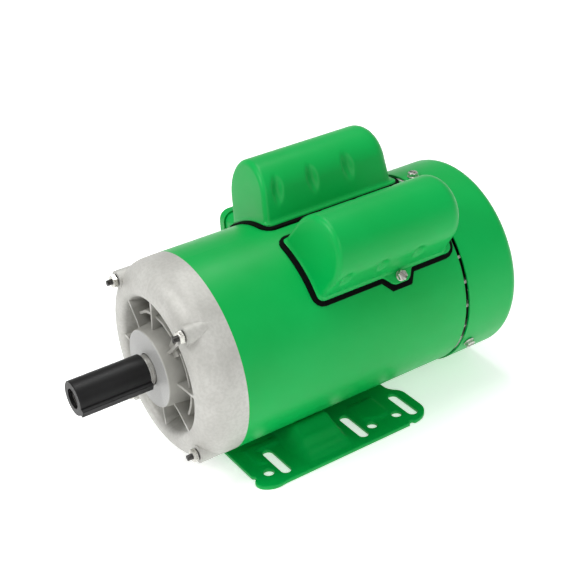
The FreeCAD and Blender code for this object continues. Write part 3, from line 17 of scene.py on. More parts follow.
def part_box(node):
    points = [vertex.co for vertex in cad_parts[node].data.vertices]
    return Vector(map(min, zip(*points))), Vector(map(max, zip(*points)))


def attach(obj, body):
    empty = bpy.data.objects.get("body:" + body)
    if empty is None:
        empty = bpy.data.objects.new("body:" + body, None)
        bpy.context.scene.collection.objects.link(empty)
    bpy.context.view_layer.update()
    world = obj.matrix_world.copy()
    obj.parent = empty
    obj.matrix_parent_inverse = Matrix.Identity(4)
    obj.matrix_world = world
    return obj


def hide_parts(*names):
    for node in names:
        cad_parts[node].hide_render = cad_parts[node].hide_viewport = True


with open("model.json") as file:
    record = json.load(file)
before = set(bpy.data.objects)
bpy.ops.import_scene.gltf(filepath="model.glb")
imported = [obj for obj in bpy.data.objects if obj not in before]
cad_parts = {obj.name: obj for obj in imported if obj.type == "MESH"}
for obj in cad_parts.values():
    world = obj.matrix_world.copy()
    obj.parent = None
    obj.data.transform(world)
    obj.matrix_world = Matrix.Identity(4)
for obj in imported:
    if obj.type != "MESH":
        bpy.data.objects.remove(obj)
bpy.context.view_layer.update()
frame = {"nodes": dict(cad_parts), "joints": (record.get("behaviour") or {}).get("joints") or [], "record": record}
nodes = frame["nodes"]

MM = 0.001


def edges(node):
    """A CAD node's lowest and highest corners at rest, to the nearest micron."""
    return [[round(value, 6) for value in corner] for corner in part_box(node)]


AXIS = next(joint["pos_m"][2] for joint in frame["joints"] if joint["name"] == "rotor_spin")
SHELL_RADIUS = edges("shell")[1][2] - AXIS
GASKET_THICK = 1.7 * MM

# Zones of the cast bells' colour, as radii from the shaft's axis and stations along it: the
# turned hub face, painted shade in the recess round the hub, and a painted shadow on the rear
# bell's rim under the fan cover's edge. A pair is the short stretch over which a zone fades in or out.
HUB_FACE = edges("drive_end_bell")[0][1] + 0.4 * MM
RECESS_SHADE_RADII = (49.0 * MM, 52.5 * MM)
RECESS_SHADE_STATIONS = (-123.4 * MM, -121.0 * MM)
# Painted shadow: where the rear bell's rim shows in the gap under the fan cover's edge.
SEAM_SHADOW_RADII = (81.1 * MM, 81.3 * MM)
SEAM_SHADOW_FRONT = (121.8 * MM, 122.0 * MM)
SEAM_SHADOW_REAR = (129.1 * MM, 129.3 * MM)


# --------------------------------------------------------------------------------------
# Material helpers
# --------------------------------------------------------------------------------------
class Nodes:
    """A short way to write one node material; self.place is the point on the object."""

    def __init__(self, name):
        self.material = bpy.data.materials.new(name)
        self.material.use_nodes = True
        self.tree = self.material.node_tree
        self.shader = self.tree.nodes["Principled BSDF"]
        self.place = self.tree.nodes.new("ShaderNodeTexCoord").outputs["Object"]

    def link(self, source, target):
        self.tree.links.new(source, target)

    def feed(self, socket, value):
        """Another node's output, a number or a colour goes into a socket."""
        if isinstance(value, bpy.types.NodeSocket):
            self.link(value, socket)
        elif socket.type == "RGBA":
            socket.default_value = (*value, 1.0)
        else:
            socket.default_value = value

    def add(self, kind, **inputs):
        """A node whose inputs are fed by name."""
        node = self.tree.nodes.new(kind)
        for key, value in inputs.items():
            self.feed(node.inputs[key.replace("_", " ")], value)
        return node

    def noise(self, scale, detail=4.0, rough=0.55, stretch=None):
        """Noise from 0 to 1 over the object, stretched along its axes if asked."""
        node = self.add("ShaderNodeTexNoise", Scale=scale, Detail=detail, Roughness=rough)
        place = self.place
        if stretch:
            place = self.add("ShaderNodeMapping", Vector=place, Scale=stretch).outputs[0]
        self.link(place, node.inputs["Vector"])
        return node.outputs["Fac"]

    def ramp(self, value, low, high, start=0.0, end=1.0):
        """value from start..end spread to low..high, held at both ends."""
        node = self.add("ShaderNodeMapRange", Value=value)
        for socket, number in zip(node.inputs[1:5], (start, end, low, high)):
            socket.default_value = number
        return node.outputs[0]

    def blend(self, factor, first, second):
        """A colour between two colours."""
        node = self.tree.nodes.new("ShaderNodeMix")
        node.data_type = "RGBA"
        for index, value in ((0, factor), (6, first), (7, second)):
            self.feed(node.inputs[index], value)
        return node.outputs[2]

    def math(self, operation, first, second=0.5):
        node = self.tree.nodes.new("ShaderNodeMath")
        node.operation = operation
        for socket, value in zip(node.inputs, (first, second)):
            self.feed(socket, value)
        return node.outputs[0]

    def from_axis(self):
        """Distance of a point from the shaft's axis, and its station along the shaft."""
        parts = self.add("ShaderNodeSeparateXYZ", Vector=self.place)
        across = self.math("POWER", parts.outputs[0], 2.0)
        height = self.math("SUBTRACT", parts.outputs[2], AXIS)
        total = self.math("ADD", across, self.math("POWER", height, 2.0))
        return self.math("SQRT", total), parts.outputs[1]

    def bump(self, height, strength, distance):
        node = self.add("ShaderNodeBump", Height=height, Strength=strength, Distance=distance)
        self.link(node.outputs[0], self.shader.inputs["Normal"])

    def finish(self, colour, rough, metal=0.0, **fixed):
        """The finished material; the fixed values are constants on the shader itself."""
        inputs = {"Base_Color": colour, "Roughness": rough, "Metallic": metal, **fixed}
        for key, value in inputs.items():
            self.feed(self.shader.inputs[key.replace("_", " ")], value)
        return self.material


def green_paint():
    """Satin enamel with a faint orange peel and slightly uneven depth of colour."""
    n = Nodes("green_paint")
    cloud = n.ramp(n.noise(9.0, 3.0), 0.0, 1.0, 0.35, 0.65)
    colour = n.blend(cloud, (0.000, 0.350, 0.058), (0.000, 0.400, 0.074))
    rough = n.ramp(n.noise(70.0, 4.0), 0.32, 0.40, 0.3, 0.7)
    n.bump(n.noise(620.0, 2.0), 0.08, 0.10 * MM)
    return n.finish(colour, rough, Specular_IOR_Level=0.22)


def cast_aluminium():
    """Bare die casting: grey flow marks and fine grain.

    The hub's face is turned. The recess round the hub is painted darker as shade, and the rim
    under the fan cover's edge is painted black as the shadow of the gap.
    """
    n = Nodes("cast_aluminium")
    flow = n.noise(22.0, 6.0, 0.6)
    patch = n.ramp(flow, 0.0, 1.0, 0.36, 0.66)
    speck = n.ramp(n.noise(420.0, 3.0), 0.0, 1.0, 0.42, 0.60)
    base = n.blend(patch, (0.455, 0.450, 0.420), (0.570, 0.565, 0.533))
    cast = n.blend(n.math("MULTIPLY", speck, 0.25), base, (0.34, 0.335, 0.305))
    radius, station = n.from_axis()
    hub = n.math("LESS_THAN", station, HUB_FACE)
    broad = n.noise(1.0, 2.0)
    turning = n.add("ShaderNodeTexWave", Scale=1.0, Distortion=0.6, Detail=1.0)
    spread = n.add("ShaderNodeCombineXYZ", X=n.math("MULTIPLY", radius, 1900.0))
    n.link(spread.outputs[0], turning.inputs["Vector"])
    machined = n.blend(turning.outputs["Fac"], (0.36, 0.36, 0.35), (0.46, 0.46, 0.45))
    # painted shade: the recess round the hub and behind its ribs is darkened in the colour, standing in for the
    # shade that falls there
    inside = n.math("MULTIPLY", n.ramp(radius, 1.0, 0.0, *RECESS_SHADE_RADII),
                    n.ramp(station, 0.0, 1.0, *RECESS_SHADE_STATIONS))
    recess_shade_colour = n.blend(patch, (0.27, 0.265, 0.24), (0.38, 0.375, 0.345))
    # painted shadow: the rim in the gap under the fan cover's edge is painted near black, standing in for the
    # gap's shade
    seam_shadow = n.math("MULTIPLY", n.ramp(station, 0.0, 1.0, *SEAM_SHADOW_FRONT),
                  n.ramp(station, 1.0, 0.0, *SEAM_SHADOW_REAR))
    seam_shadow = n.math("MULTIPLY", seam_shadow, n.ramp(radius, 1.0, 0.0, *SEAM_SHADOW_RADII))
    colour = n.blend(hub, n.blend(inside, cast, recess_shade_colour), machined)
    colour = n.blend(seam_shadow, colour, (0.012, 0.012, 0.011))
    rough = n.ramp(n.math("ADD", flow, n.math("MULTIPLY", broad, 0.4)), 0.46, 0.62, 0.4, 1.0)
    grain = n.math("ADD", n.noise(900.0, 3.0), n.math("MULTIPLY", n.noise(160.0, 3.0), 0.8))
    n.bump(grain, 0.30, 0.16 * MM)
    return n.finish(colour, rough, 0.25)


def steel(name, dark, light, rough, metal=0.9, grain=(1.0, 1.0, 1.0), scale=300.0, bump=0.08):
    """Plain metal with a drawn or mottled grain."""
    n = Nodes(name)
    mark = n.noise(scale, 4.0, 0.6, stretch=grain)
    colour = n.blend(n.ramp(mark, 0.0, 1.0, 0.35, 0.65), dark, light)
    n.bump(mark, bump, 0.10 * MM)
    return n.finish(colour, n.ramp(mark, rough - 0.06, rough + 0.08, 0.3, 0.7), metal)


def polymer(name, dark, light, rough, scale=260.0, bump=0.12, depth=0.12, **fixed):
    """Moulded plastic or rubber with a fine surface texture."""
    n = Nodes(name)
    cloud = n.ramp(n.noise(scale / 12.0, 3.0), 0.0, 1.0, 0.35, 0.65)
    fine = n.noise(scale, 3.0, 0.6)
    n.bump(fine, bump, depth * MM)
    sheen = n.ramp(fine, rough - 0.05, rough + 0.09, 0.3, 0.7)
    return n.finish(n.blend(cloud, dark, light), sheen, **fixed)


def laminated_steel():
    """Stacked sheets, seen as fine lines across the shaft."""
    n = Nodes("core_steel")
    sheets = n.add("ShaderNodeTexWave", Scale=700.0, Distortion=0.3)
    sheets.bands_direction = "Y"
    n.link(n.place, sheets.inputs["Vector"])
    colour = n.blend(sheets.outputs["Fac"], (0.10, 0.10, 0.11), (0.26, 0.26, 0.28))
    n.bump(sheets.outputs["Fac"], 0.3, 0.2 * MM)
    return n.finish(colour, n.ramp(n.noise(90.0), 0.40, 0.58, 0.3, 0.7), 0.8)


def wound_copper():
    """Enamelled wire lying round the end turns."""
    n = Nodes("copper_enamel")
    radius, station = n.from_axis()
    lay = n.math("ADD", n.math("MULTIPLY", radius, 4200.0), n.math("MULTIPLY", station, 3600.0))
    strand = n.math("SINE", n.math("ADD", lay, n.math("MULTIPLY", n.noise(60.0), 9.0)))
    strand = n.ramp(strand, 0.0, 1.0, -1.0, 1.0)
    colour = n.blend(strand, (0.16, 0.035, 0.010), (0.52, 0.17, 0.05))
    n.bump(strand, 0.6, 0.4 * MM)
    return n.finish(colour, n.ramp(n.noise(240.0), 0.26, 0.42, 0.3, 0.7), 0.55, Coat_Weight=0.4)


def lacing_cord():
    """Twisted cord round the end turns."""
    n = Nodes("cord_white")
    twist = n.add("ShaderNodeTexWave", Scale=420.0, Distortion=2.0)
    n.link(n.place, twist.inputs["Vector"])
    colour = n.blend(twist.outputs["Fac"], (0.55, 0.52, 0.42), (0.80, 0.78, 0.70))
    n.bump(twist.outputs["Fac"], 0.5, 0.3 * MM)
    return n.finish(colour, n.ramp(n.noise(300.0), 0.75, 0.90, 0.3, 0.7))


MATERIALS = {
    "green_paint": green_paint(),
    "cast_aluminium": cast_aluminium(),
    "zinc_steel": steel("zinc_steel", (0.50, 0.49, 0.44), (0.72, 0.71, 0.67), 0.30, scale=500.0),
    "shaft_steel": steel("shaft_steel", (0.43, 0.42, 0.40), (0.56, 0.55, 0.52), 0.28,
                         grain=(1.0, 30.0, 1.0), scale=60.0, bump=0.03),
    "bearing_steel": steel("bearing_steel", (0.55, 0.55, 0.56), (0.70, 0.70, 0.71), 0.14, 1.0),
    "core_steel": laminated_steel(),
    "rotor_aluminium": steel("rotor_aluminium", (0.50, 0.50, 0.49), (0.68, 0.68, 0.67), 0.42,
                             scale=120.0),
    "copper_enamel": wound_copper(),
    "black_rubber": polymer("black_rubber", (0.0016, 0.0016, 0.0016), (0.0034, 0.0034, 0.0034),
                            0.70, Specular_IOR_Level=0.05),
    "black_plastic": polymer("black_plastic", (0.0040, 0.0040, 0.0042), (0.0070, 0.0070, 0.0074),
                             0.40, scale=700.0, bump=0.16, depth=0.08, Specular_IOR_Level=0.24),
    "fan_plastic": polymer("fan_plastic", (0.020, 0.020, 0.022), (0.034, 0.034, 0.036), 0.50),
    "board_phenolic": polymer("board_phenolic", (0.075, 0.030, 0.012), (0.130, 0.055, 0.022), 0.38),
    "cord_white": lacing_cord(),
    "capacitor_black": polymer("capacitor_black", (0.010, 0.010, 0.011), (0.016, 0.016, 0.018),
                               0.18, Coat_Weight=0.3),
    "capacitor_can": steel("capacitor_can", (0.60, 0.60, 0.61), (0.74, 0.74, 0.75), 0.28, 1.0,
                           grain=(1.0, 0.05, 1.0), scale=260.0),
    "stud_brass": steel("stud_brass", (0.52, 0.34, 0.09), (0.74, 0.53, 0.20), 0.24, 1.0),
    "spring_steel": steel("spring_steel", (0.030, 0.029, 0.028), (0.110, 0.106, 0.100), 0.36, 0.8),
}

SLOT_OF = {row["node"]: row["material_slot"] for row in frame["record"]["subparts"]}


def paint_cad_nodes():
    """Every CAD node takes the node material of its record slot."""
    for name, item in nodes.items():
        item.data.materials.clear()
        item.data.materials.append(MATERIALS[SLOT_OF[name]])


# --------------------------------------------------------------------------------------
# Mesh helpers
# --------------------------------------------------------------------------------------
HEX_SEGMENTS = 96
SAME_SPOT = 1e-6

# Width of a hex head's chamfer cone, halfway up it and at the top, over the head's flats.
SHOULDER_SHARE = 1.115
FACE_SHARE = 0.96


def piece(name, points, faces, slot, sharp=35.0, merge=0.02 * MM):
    """A finished mesh piece in the row frame, riding on the fixed body."""
    mesh = bpy.data.meshes.new(name)
    mesh.from_pydata([tuple(p) for p in points], [], faces)
    work = bmesh.new()
    work.from_mesh(mesh)
    bmesh.ops.remove_doubles(work, verts=work.verts, dist=merge)
    bmesh.ops.recalc_face_normals(work, faces=work.faces)
    work.to_mesh(mesh)
    work.free()
    mesh.shade_smooth()
    mesh.set_sharp_from_angle(angle=math.radians(sharp))
    mesh.materials.append(MATERIALS[slot])
    item = bpy.data.objects.new(name, mesh)
    bpy.context.scene.collection.objects.link(item)
    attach(item, "frame")
    return item


def strip(rows, closed=False):
    """Faces between equally long rows of points; each row closes on itself if asked."""
    count = len(rows[0])
    last = count if closed else count - 1
    faces = []
    for i in range(len(rows) - 1):
        for j in range(last):
            k = (j + 1) % count
            faces.append((i * count + j, i * count + k, (i + 1) * count + k, (i + 1) * count + j))
    return [p for row in rows for p in row], faces


def join(*parts):
    """Several (points, faces) made into one."""
    points, faces = [], []
    for more, some in parts:
        faces += [tuple(i + len(points) for i in face) for face in some]
        points += more
    return points, faces


def standing(degrees):
    """Frame of a piece that stands out from the shaft: X runs round, Z points outwards."""
    turn = Matrix.Rotation(math.radians(degrees), 4, "Y")
    return Matrix.Translation((0, 0, AXIS)) @ turn


def full_turn(count):
    """Evenly spaced angles of one whole turn."""
    return [2 * math.pi * i / count for i in range(count)]


def spun(place, radius, turn, height):
    """A point at a radius, an angle and a height about a frame's Z axis."""
    return place @ Vector((radius * math.cos(turn), radius * math.sin(turn), height))


def lathe(profile, place, segments=48):
    """Rings about the local Z axis from (radius, height) points."""
    rows = [[spun(place, radius, turn, height) for turn in full_turn(segments)]
            for radius, height in profile]
    return strip(rows, closed=True)


def hex_prism(flats, low, high, chamfer, place):
    """A hexagon whose corners are cut by a cone at the top, as on a nut or bolt head."""
    levels = ((low, None), (high - chamfer, None), (high - chamfer / 2, SHOULDER_SHARE),
              (high, FACE_SHARE))
    rows = []
    for height, cone in levels:
        ring = []
        for turn in full_turn(HEX_SEGMENTS):
            side = (turn + math.pi / 6) % (math.pi / 3) - math.pi / 6
            reach = flats / 2 / math.cos(side)
            if cone:
                reach = min(reach, flats / 2 * cone)
            ring.append(spun(place, reach, turn, height))
        rows.append(ring)
    return strip(rows, closed=True)


def rounded_loop(corners, spacing):
    """A closed loop of points through (x, y, radius) corners, each corner drawn as an arc."""
    loop = []
    for i, (x, y, radius) in enumerate(corners):
        spot = Vector((x, y))
        before = Vector(corners[i - 1][:2]) - spot
        after = Vector(corners[(i + 1) % len(corners)][:2]) - spot
        reach = min(radius, 0.48 * before.length, 0.48 * after.length)
        first, last = spot + before.normalized() * reach, spot + after.normalized() * reach
        for k in range(7):
            t = k / 6
            loop.append(first * (1 - t) ** 2 + spot * 2 * t * (1 - t) + last * t ** 2)
    dense = []
    for i, here in enumerate(loop):
        there = loop[(i + 1) % len(loop)]
        if (there - here).length < SAME_SPOT:
            continue
        pieces = max(1, int((there - here).length / spacing))
        dense += [here.lerp(there, k / pieces) for k in range(pieces)]
    return dense


def shifted_loop(loop, distance):
    """The loop moved sideways: inwards when its points run anticlockwise."""
    moved = []
    for i, here in enumerate(loop):
        along = (loop[(i + 1) % len(loop)] - loop[i - 1]).normalized()
        moved.append(here + Vector((-along.y, along.x)) * distance)
    return moved


def inside(point, loop):
    """Whether a point lies in a closed loop, by counting the edges to its right."""
    crossings = False
    for i, a in enumerate(loop):
        b = loop[i - 1]
        if (a.y > point.y) != (b.y > point.y):
            if point.x < (b.x - a.x) * (point.y - a.y) / (b.y - a.y) + a.x:
                crossings = not crossings
    return crossings


def near(point, loop, reach):
    """Whether a point lies in the loop's bounding box grown by reach."""
    return (min(p.x for p in loop) - reach < point.x < max(p.x for p in loop) + reach
            and min(p.y for p in loop) - reach < point.y < max(p.y for p in loop) + reach)


def rim_distance(point, loop):
    """Distance to a closed loop, positive inside it."""
    nearest = math.inf
    for i, a in enumerate(loop):
        b = loop[i - 1]
        run = b - a
        share = max(0.0, min(1.0, (point - a).dot(run) / max(run.length_squared, 1e-12)))
        nearest = min(nearest, (point - a - run * share).length)
    return nearest if inside(point, loop) else -nearest


def smooth_step(value, start, end):
    """0 before start, 1 after end and an even S between them."""
    t = max(0.0, min(1.0, (value - start) / (end - start)))
    return t * t * (3 - 2 * t)


# --------------------------------------------------------------------------------------
# Foot base: one stamped sheet whose seats and pads rise softly from the plate
# --------------------------------------------------------------------------------------
# This section works in millimetres and turns to metres where the mesh is made.
EAR_REACH = 2.2
PLATE_THICK = 3.2
PLATE_FRONT = round(edges("base_plate")[0][1] / MM + EAR_REACH, 3)
PLATE_REAR = round(edges("base_plate")[1][1] / MM, 3)
PLATE_SIDE = 87.2
HOLE_RADIUS = 4.35
HOLE_SIDE = 69.85
HOLE_STATIONS = (-63.5, 38.1, 63.5)
SLOT_LENGTH = 35.0
SLOT_SIDE = 61.9
SLOT_STATIONS = (-50.8, 25.4, 76.2)
EDGE_ROUND = 0.35
GRID_PITCH = 1.9
GRID_CLEAR = 1.2
PAD_RISE = 1.3
PAD_EDGE = 1.6


def base_rim():
    """The plate's edge as (x, y, radius) corners, anticlockwise."""
    front, rear, side = PLATE_FRONT, PLATE_REAR, PLATE_SIDE
    right = [
        (32.0, front, 2), (66.5, front, 0.8), (68.0, front + 1.8, 0.8), (71.0, front + 1.8, 0.8),
        (72.2, front - 0.6, 1.5), (75.5, front - EAR_REACH, 3), (80.2, front - 1.6, 3),
        (84.2, front + 2.0, 3), (87.2, front + 7.4, 3), (88.0, front + 13.0, 3),
        (side, front + 19.0, 2), (side, 64.4, 0.8),
        (84.9, 65.2, 0.6), (84.9, 68.4, 0.6), (side, 69.6, 1.5), (86.8, 74.5, 3), (85.0, 79.6, 3),
        (81.6, 84.0, 3), (77.0, 87.2, 3), (72.0, rear, 3), (48.0, rear, 3), (43.0, 86.4, 3),
        (39.4, 82.4, 3), (34.6, 80.0, 3), (30.0, 79.6, 3),
    ]
    return right + [(-x, y, radius) for x, y, radius in reversed(right)]


def foot_holes():
    """Loops of the six slots and six round holes."""
    radius, half = HOLE_RADIUS, SLOT_LENGTH / 2 - HOLE_RADIUS
    for sign in (1, -1):
        for station in SLOT_STATIONS:
            loop = []
            for end, start in ((1, -90), (-1, 90)):
                for i in range(13):
                    turn = math.radians(start + 15 * i)
                    loop.append(Vector((sign * SLOT_SIDE + end * half + radius * math.cos(turn),
                                        station + radius * math.sin(turn))))
            yield loop
        for station in HOLE_STATIONS:
            yield [Vector((sign * HOLE_SIDE + radius * math.cos(turn),
                           station + radius * math.sin(turn))) for turn in full_turn(28)]


# A stretch that the plate's edge stays clear of, so a point there needs no search of the rim.
SOLID_SIDE = 28
SOLID_FRONT = -76
SOLID_REAR = 78

# The seat's height over the distance from the middle, the stations where it rises and falls,
# and the outlines of the two raised pads on each side.
SEAT_PROFILE = ((16.0, 3.2), (24.0, 4.6), (30.5, 10.4), (38.0, 14.2), (46.4, 18.8), (49.5, 19.2),
                (60.0, 13.9), (70.5, 8.0), (76.0, 5.2), (81.5, 3.2))
SEAT_RISE = (-36.5, -23.0)
SEAT_FALL = (5.5, 16.0)
PADS = (
    ((34, -66, 2), (54, -66, 2), (59, -62.5, 2), (59, -57.5, 2), (42.5, -57.5, 2), (42.5, -36, 2),
     (34, -36, 2)),
    ((38, 36, 2), (61, 36, 3), (64, 43.5, 2), (66.5, 47, 3), (66.5, 56, 3), (62, 60, 3),
     (38, 60, 2)),
)


def sheet_height(x, y, pads):
    """Top of the stamped sheet over a point."""
    spot = Vector((abs(x), y))
    rise = 0.0
    for (x0, z0), (x1, z1) in zip(SEAT_PROFILE, SEAT_PROFILE[1:]):
        if x0 <= spot.x <= x1:
            share = 0.35 * smooth_step(spot.x, x0, x1) + 0.65 * (spot.x - x0) / (x1 - x0)
            rise = z0 + (z1 - z0) * share - PLATE_THICK
    rise *= smooth_step(y, *SEAT_RISE) * (1 - smooth_step(y, *SEAT_FALL))
    for loop in pads:
        if near(spot, loop, PAD_EDGE):
            rise += PAD_RISE * smooth_step(rim_distance(spot, loop), -PAD_EDGE, PAD_EDGE)
    return PLATE_THICK + rise


def on_sheet(spot, loops):
    """Whether a point lies in the first loop, the rim, and in none of the others."""
    if any(near(spot, hole, 0.0) and inside(spot, hole) for hole in loops[1:]):
        return False
    well_inside = abs(spot.x) < SOLID_SIDE and SOLID_FRONT < spot.y < SOLID_REAR
    return well_inside or inside(spot, loops[0])


def grid_spots(fence):
    """Staggered points that fill the sheet inside its fences."""
    left, front = -88, PLATE_FRONT - 2
    for row in range(int((PLATE_REAR - PLATE_FRONT + 4) / GRID_PITCH)):
        for column in range(int(-2 * left / GRID_PITCH) + 1):
            across = left + (column + 0.5 * (row % 2)) * GRID_PITCH
            spot = Vector((across, front + row * GRID_PITCH))
            if on_sheet(spot, fence):
                yield spot


def add_foot_base():
    """The sheet as a triangle mesh, top and underside, with walls round every rim."""
    rims = [rounded_loop(base_rim(), 2.4)] + [list(reversed(hole)) for hole in foot_holes()]
    pads = [rounded_loop(corners, 6.0) for corners in PADS]
    brinks = [shifted_loop(loop, EDGE_ROUND) for loop in rims]
    edges, spots, loops = [], [], []
    for loop in brinks:
        start = len(spots)
        spots += loop
        loops.append(range(start, len(spots)))
        edges += [(start + i, start + (i + 1) % len(loop)) for i in range(len(loop))]
    spots += grid_spots([shifted_loop(loop, GRID_CLEAR) for loop in rims])
    flat, _, triangles = delaunay_2d_cdt(spots, edges, [], 0, 0.0001)[:3]
    kept = []
    for face in triangles:
        middle = sum((flat[i] for i in face), Vector((0, 0))) / 3
        if on_sheet(middle, brinks):
            kept.append(tuple(face))
    tops = [sheet_height(p.x, p.y, pads) for p in flat]
    points = [Vector((p.x, p.y, top)) * MM for p, top in zip(flat, tops)]
    points += [Vector((p.x, p.y, max(top - PLATE_THICK, 0.0))) * MM for p, top in zip(flat, tops)]
    faces = kept + [tuple(i + len(flat) for i in reversed(face)) for face in kept]
    for loop, rim in zip(loops, rims):
        rows = [[points[i] for i in loop]]
        for drop in (EDGE_ROUND, PLATE_THICK - EDGE_ROUND):
            rows.append([Vector((p.x, p.y, max(tops[i] - drop, EDGE_ROUND))) * MM
                         for i, p in zip(loop, rim)])
        rows.append([points[i + len(flat)] for i in loop])
        wall_points, wall_faces = strip(rows, closed=True)
        faces += [tuple(i + len(points) for i in face) for face in wall_faces]
        points += wall_points
    plate = piece("stamped_base", points, faces, "green_paint", sharp=50.0, merge=0.005 * MM)
    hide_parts("base_plate")


# --------------------------------------------------------------------------------------
# Fasteners
# --------------------------------------------------------------------------------------
WASHER_THICK = 1.2 * MM
NUT_FRONT, NUT_REAR = (corner[1] for corner in edges("bolt_nuts"))
NUT_THICK = NUT_REAR - NUT_FRONT
BOLT_PITCH_RADIUS = 75.4 * MM
BOLT_ANGLES = (45, 135, 225, 315)
BOLT_HEAD_THICK = 3.4 * MM
BOLT_SEAT = NUT_REAR + WASHER_THICK
BOLT_REACH = BOLT_SEAT + BOLT_HEAD_THICK - edges("through_bolts")[1][1]
SCREW_FLATS = 7.6 * MM
SCREW_TALL = 3.9 * MM
THREAD_POINTS = 28


def bolt_place(degrees):
    """Frame on a through bolt's seat: Z runs out of the drive end."""
    t = math.radians(degrees)
    spot = Vector((BOLT_PITCH_RADIUS * math.sin(t), BOLT_SEAT,
                   AXIS + BOLT_PITCH_RADIUS * math.cos(t)))
    return Matrix.Translation(spot) @ Matrix.Rotation(math.radians(90), 4, "X")


def threaded_rod(place, radius, low, high, pitch, depth):
    """A screw thread run out as a helical surface, closed by a chamfered end."""
    turns = full_turn(THREAD_POINTS)
    rows = []
    for level in range(int((high - low) / pitch) * 4 + 1):
        reach = radius - depth * (0.5 + 0.5 * math.cos(2 * math.pi * level / 4))
        ring = []
        for i, turn in enumerate(turns):
            height = min(low + (level / 4 + i / THREAD_POINTS) * pitch, high - 0.4 * depth)
            ring.append(spun(place, reach, turn, height))
        rows.append(ring)
    rows.append([spun(place, 0.72 * radius, turn, high) for turn in turns])
    points, faces = strip(rows, closed=True)
    faces.append(tuple(range(len(points) - THREAD_POINTS, len(points))))
    return points, faces


def add_through_bolts():
    """Four long bolts, each with its head at the rear and a washer and nut at the front."""
    seat, top = WASHER_THICK, WASHER_THICK + NUT_THICK
    for number, degrees in enumerate(BOLT_ANGLES):
        place = bolt_place(degrees) @ Matrix.Rotation(math.radians(23 * number), 4, "Z")
        thread = threaded_rod(place, 2.4 * MM, -1.0 * MM, 8.9 * MM, 0.8 * MM, 0.34 * MM)
        rod = lathe([(2.3 * MM, -0.9 * MM), (2.3 * MM, BOLT_REACH - 0.1 * MM)], place, 24)
        rear = place @ Matrix.Translation((0, 0, BOLT_REACH)) @ Matrix.Rotation(math.pi, 4, "X")
        head = hex_prism(8.6 * MM, 0.0, BOLT_HEAD_THICK, 0.7 * MM, rear)
        cap = lathe([(0.01 * MM, BOLT_HEAD_THICK), (4.1 * MM, BOLT_HEAD_THICK)], rear,
                    HEX_SEGMENTS)
        bolt = piece("through_bolt_%d" % number, *join(thread, rod, head, cap), "spring_steel")
        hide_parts("through_bolts")

        bore = lathe([(4.6 * MM, top), (2.9 * MM, top), (2.42 * MM, top - 0.45 * MM),
                      (2.42 * MM, seat), (4.7 * MM, seat)], place, HEX_SEGMENTS)
        shell = hex_prism(9.5 * MM, seat, top, 0.8 * MM, place)
        nut = piece("bolt_nut_%d" % number, *join(shell, bore), "zinc_steel", merge=0.12 * MM)
        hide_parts("bolt_nuts")

        washer = piece("spring_washer_%d" % number, *split_washer(place), "spring_steel")
        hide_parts("lock_washers")


def split_washer(place):
    """A spring washer: one open turn of square wire whose ends stand slightly apart."""
    inner, outer, gap = 2.75 * MM, 4.7 * MM, math.radians(9)
    rows = []
    steps = 60
    for i in range(steps + 1):
        turn = gap / 2 + (2 * math.pi - gap) * i / steps
        lift = 0.12 * MM * (i / steps - 0.5)
        low = max(0.02 * MM, lift + 0.10 * MM)
        high = WASHER_THICK - 0.10 * MM + min(lift, 0.06 * MM)
        corners = ((inner, low), (outer, low), (outer, high), (inner, high))
        rows.append([spun(place, radius, turn, height) for radius, height in corners])
    points, faces = strip(rows, closed=True)
    faces += [(0, 1, 2, 3), tuple(len(points) - 4 + i for i in range(4))]
    return points, faces


def slotted_face(place):
    """The flat end of a screw head with a slot cut across it."""
    half, deep, tall = 0.55 * MM, 1.1 * MM, SCREW_TALL
    reach = SCREW_FLATS / 2 * FACE_SHARE
    span = math.sqrt(reach ** 2 - half ** 2)
    rim = []
    for turn in full_turn(HEX_SEGMENTS):
        x, y = reach * math.cos(turn), reach * math.sin(turn)
        rim.append(Vector((x, max(half, abs(y)) * (1 if y >= 0 else -1), tall)))
    points, faces = [], []
    for sign in (1, -1):
        arc = [p for p in rim if p.y * sign > 0 and abs(p.x) <= span]
        arc.sort(key=lambda p: -p.x)
        faces.append(tuple(range(len(points), len(points) + len(arc))))
        points += arc
    base = len(points)
    for x in (span, -span):
        for y in (half, -half):
            points += [Vector((x, y, tall)), Vector((x, y, tall - deep))]
    right_a, right_ad, right_b, right_bd, left_a, left_ad, left_b, left_bd = range(base, base + 8)
    faces += [(right_a, left_a, left_ad, right_ad), (right_b, right_bd, left_bd, left_b),
              (right_ad, left_ad, left_bd, right_bd)]
    return [place @ p for p in points], faces


def slotted_hex_head(name, place, collar, node):
    """Washer-face hex screw head with a driving slot, on a short shank."""
    thin = 0.9 * MM
    skirt = lathe([(1.7 * MM, -6.0 * MM), (1.7 * MM, 0.0), (collar - 0.15 * MM, 0.0),
                   (collar, 0.2 * MM), (collar, thin - 0.25 * MM), (collar - 0.3 * MM, thin),
                   (1.0 * MM, thin)], place)
    head = hex_prism(SCREW_FLATS, thin - 0.1 * MM, SCREW_TALL, 0.6 * MM, place)
    item = piece(name, *join(skirt, head, slotted_face(place)), "zinc_steel",
                 sharp=28.0, merge=0.03 * MM)
    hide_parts(node)


# Each cover's angle round the shaft, and the side on which its screw tab lies.
COVER_ANGLES = {"start": (-20.0, -1), "run": (34.8, 1)}
SCREW_TURN = 22.7
SCREW_STATION = round(sum(corner.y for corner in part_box("cover_screws")) / 2, 6)
FLANGE_THICK = 1.3 * MM


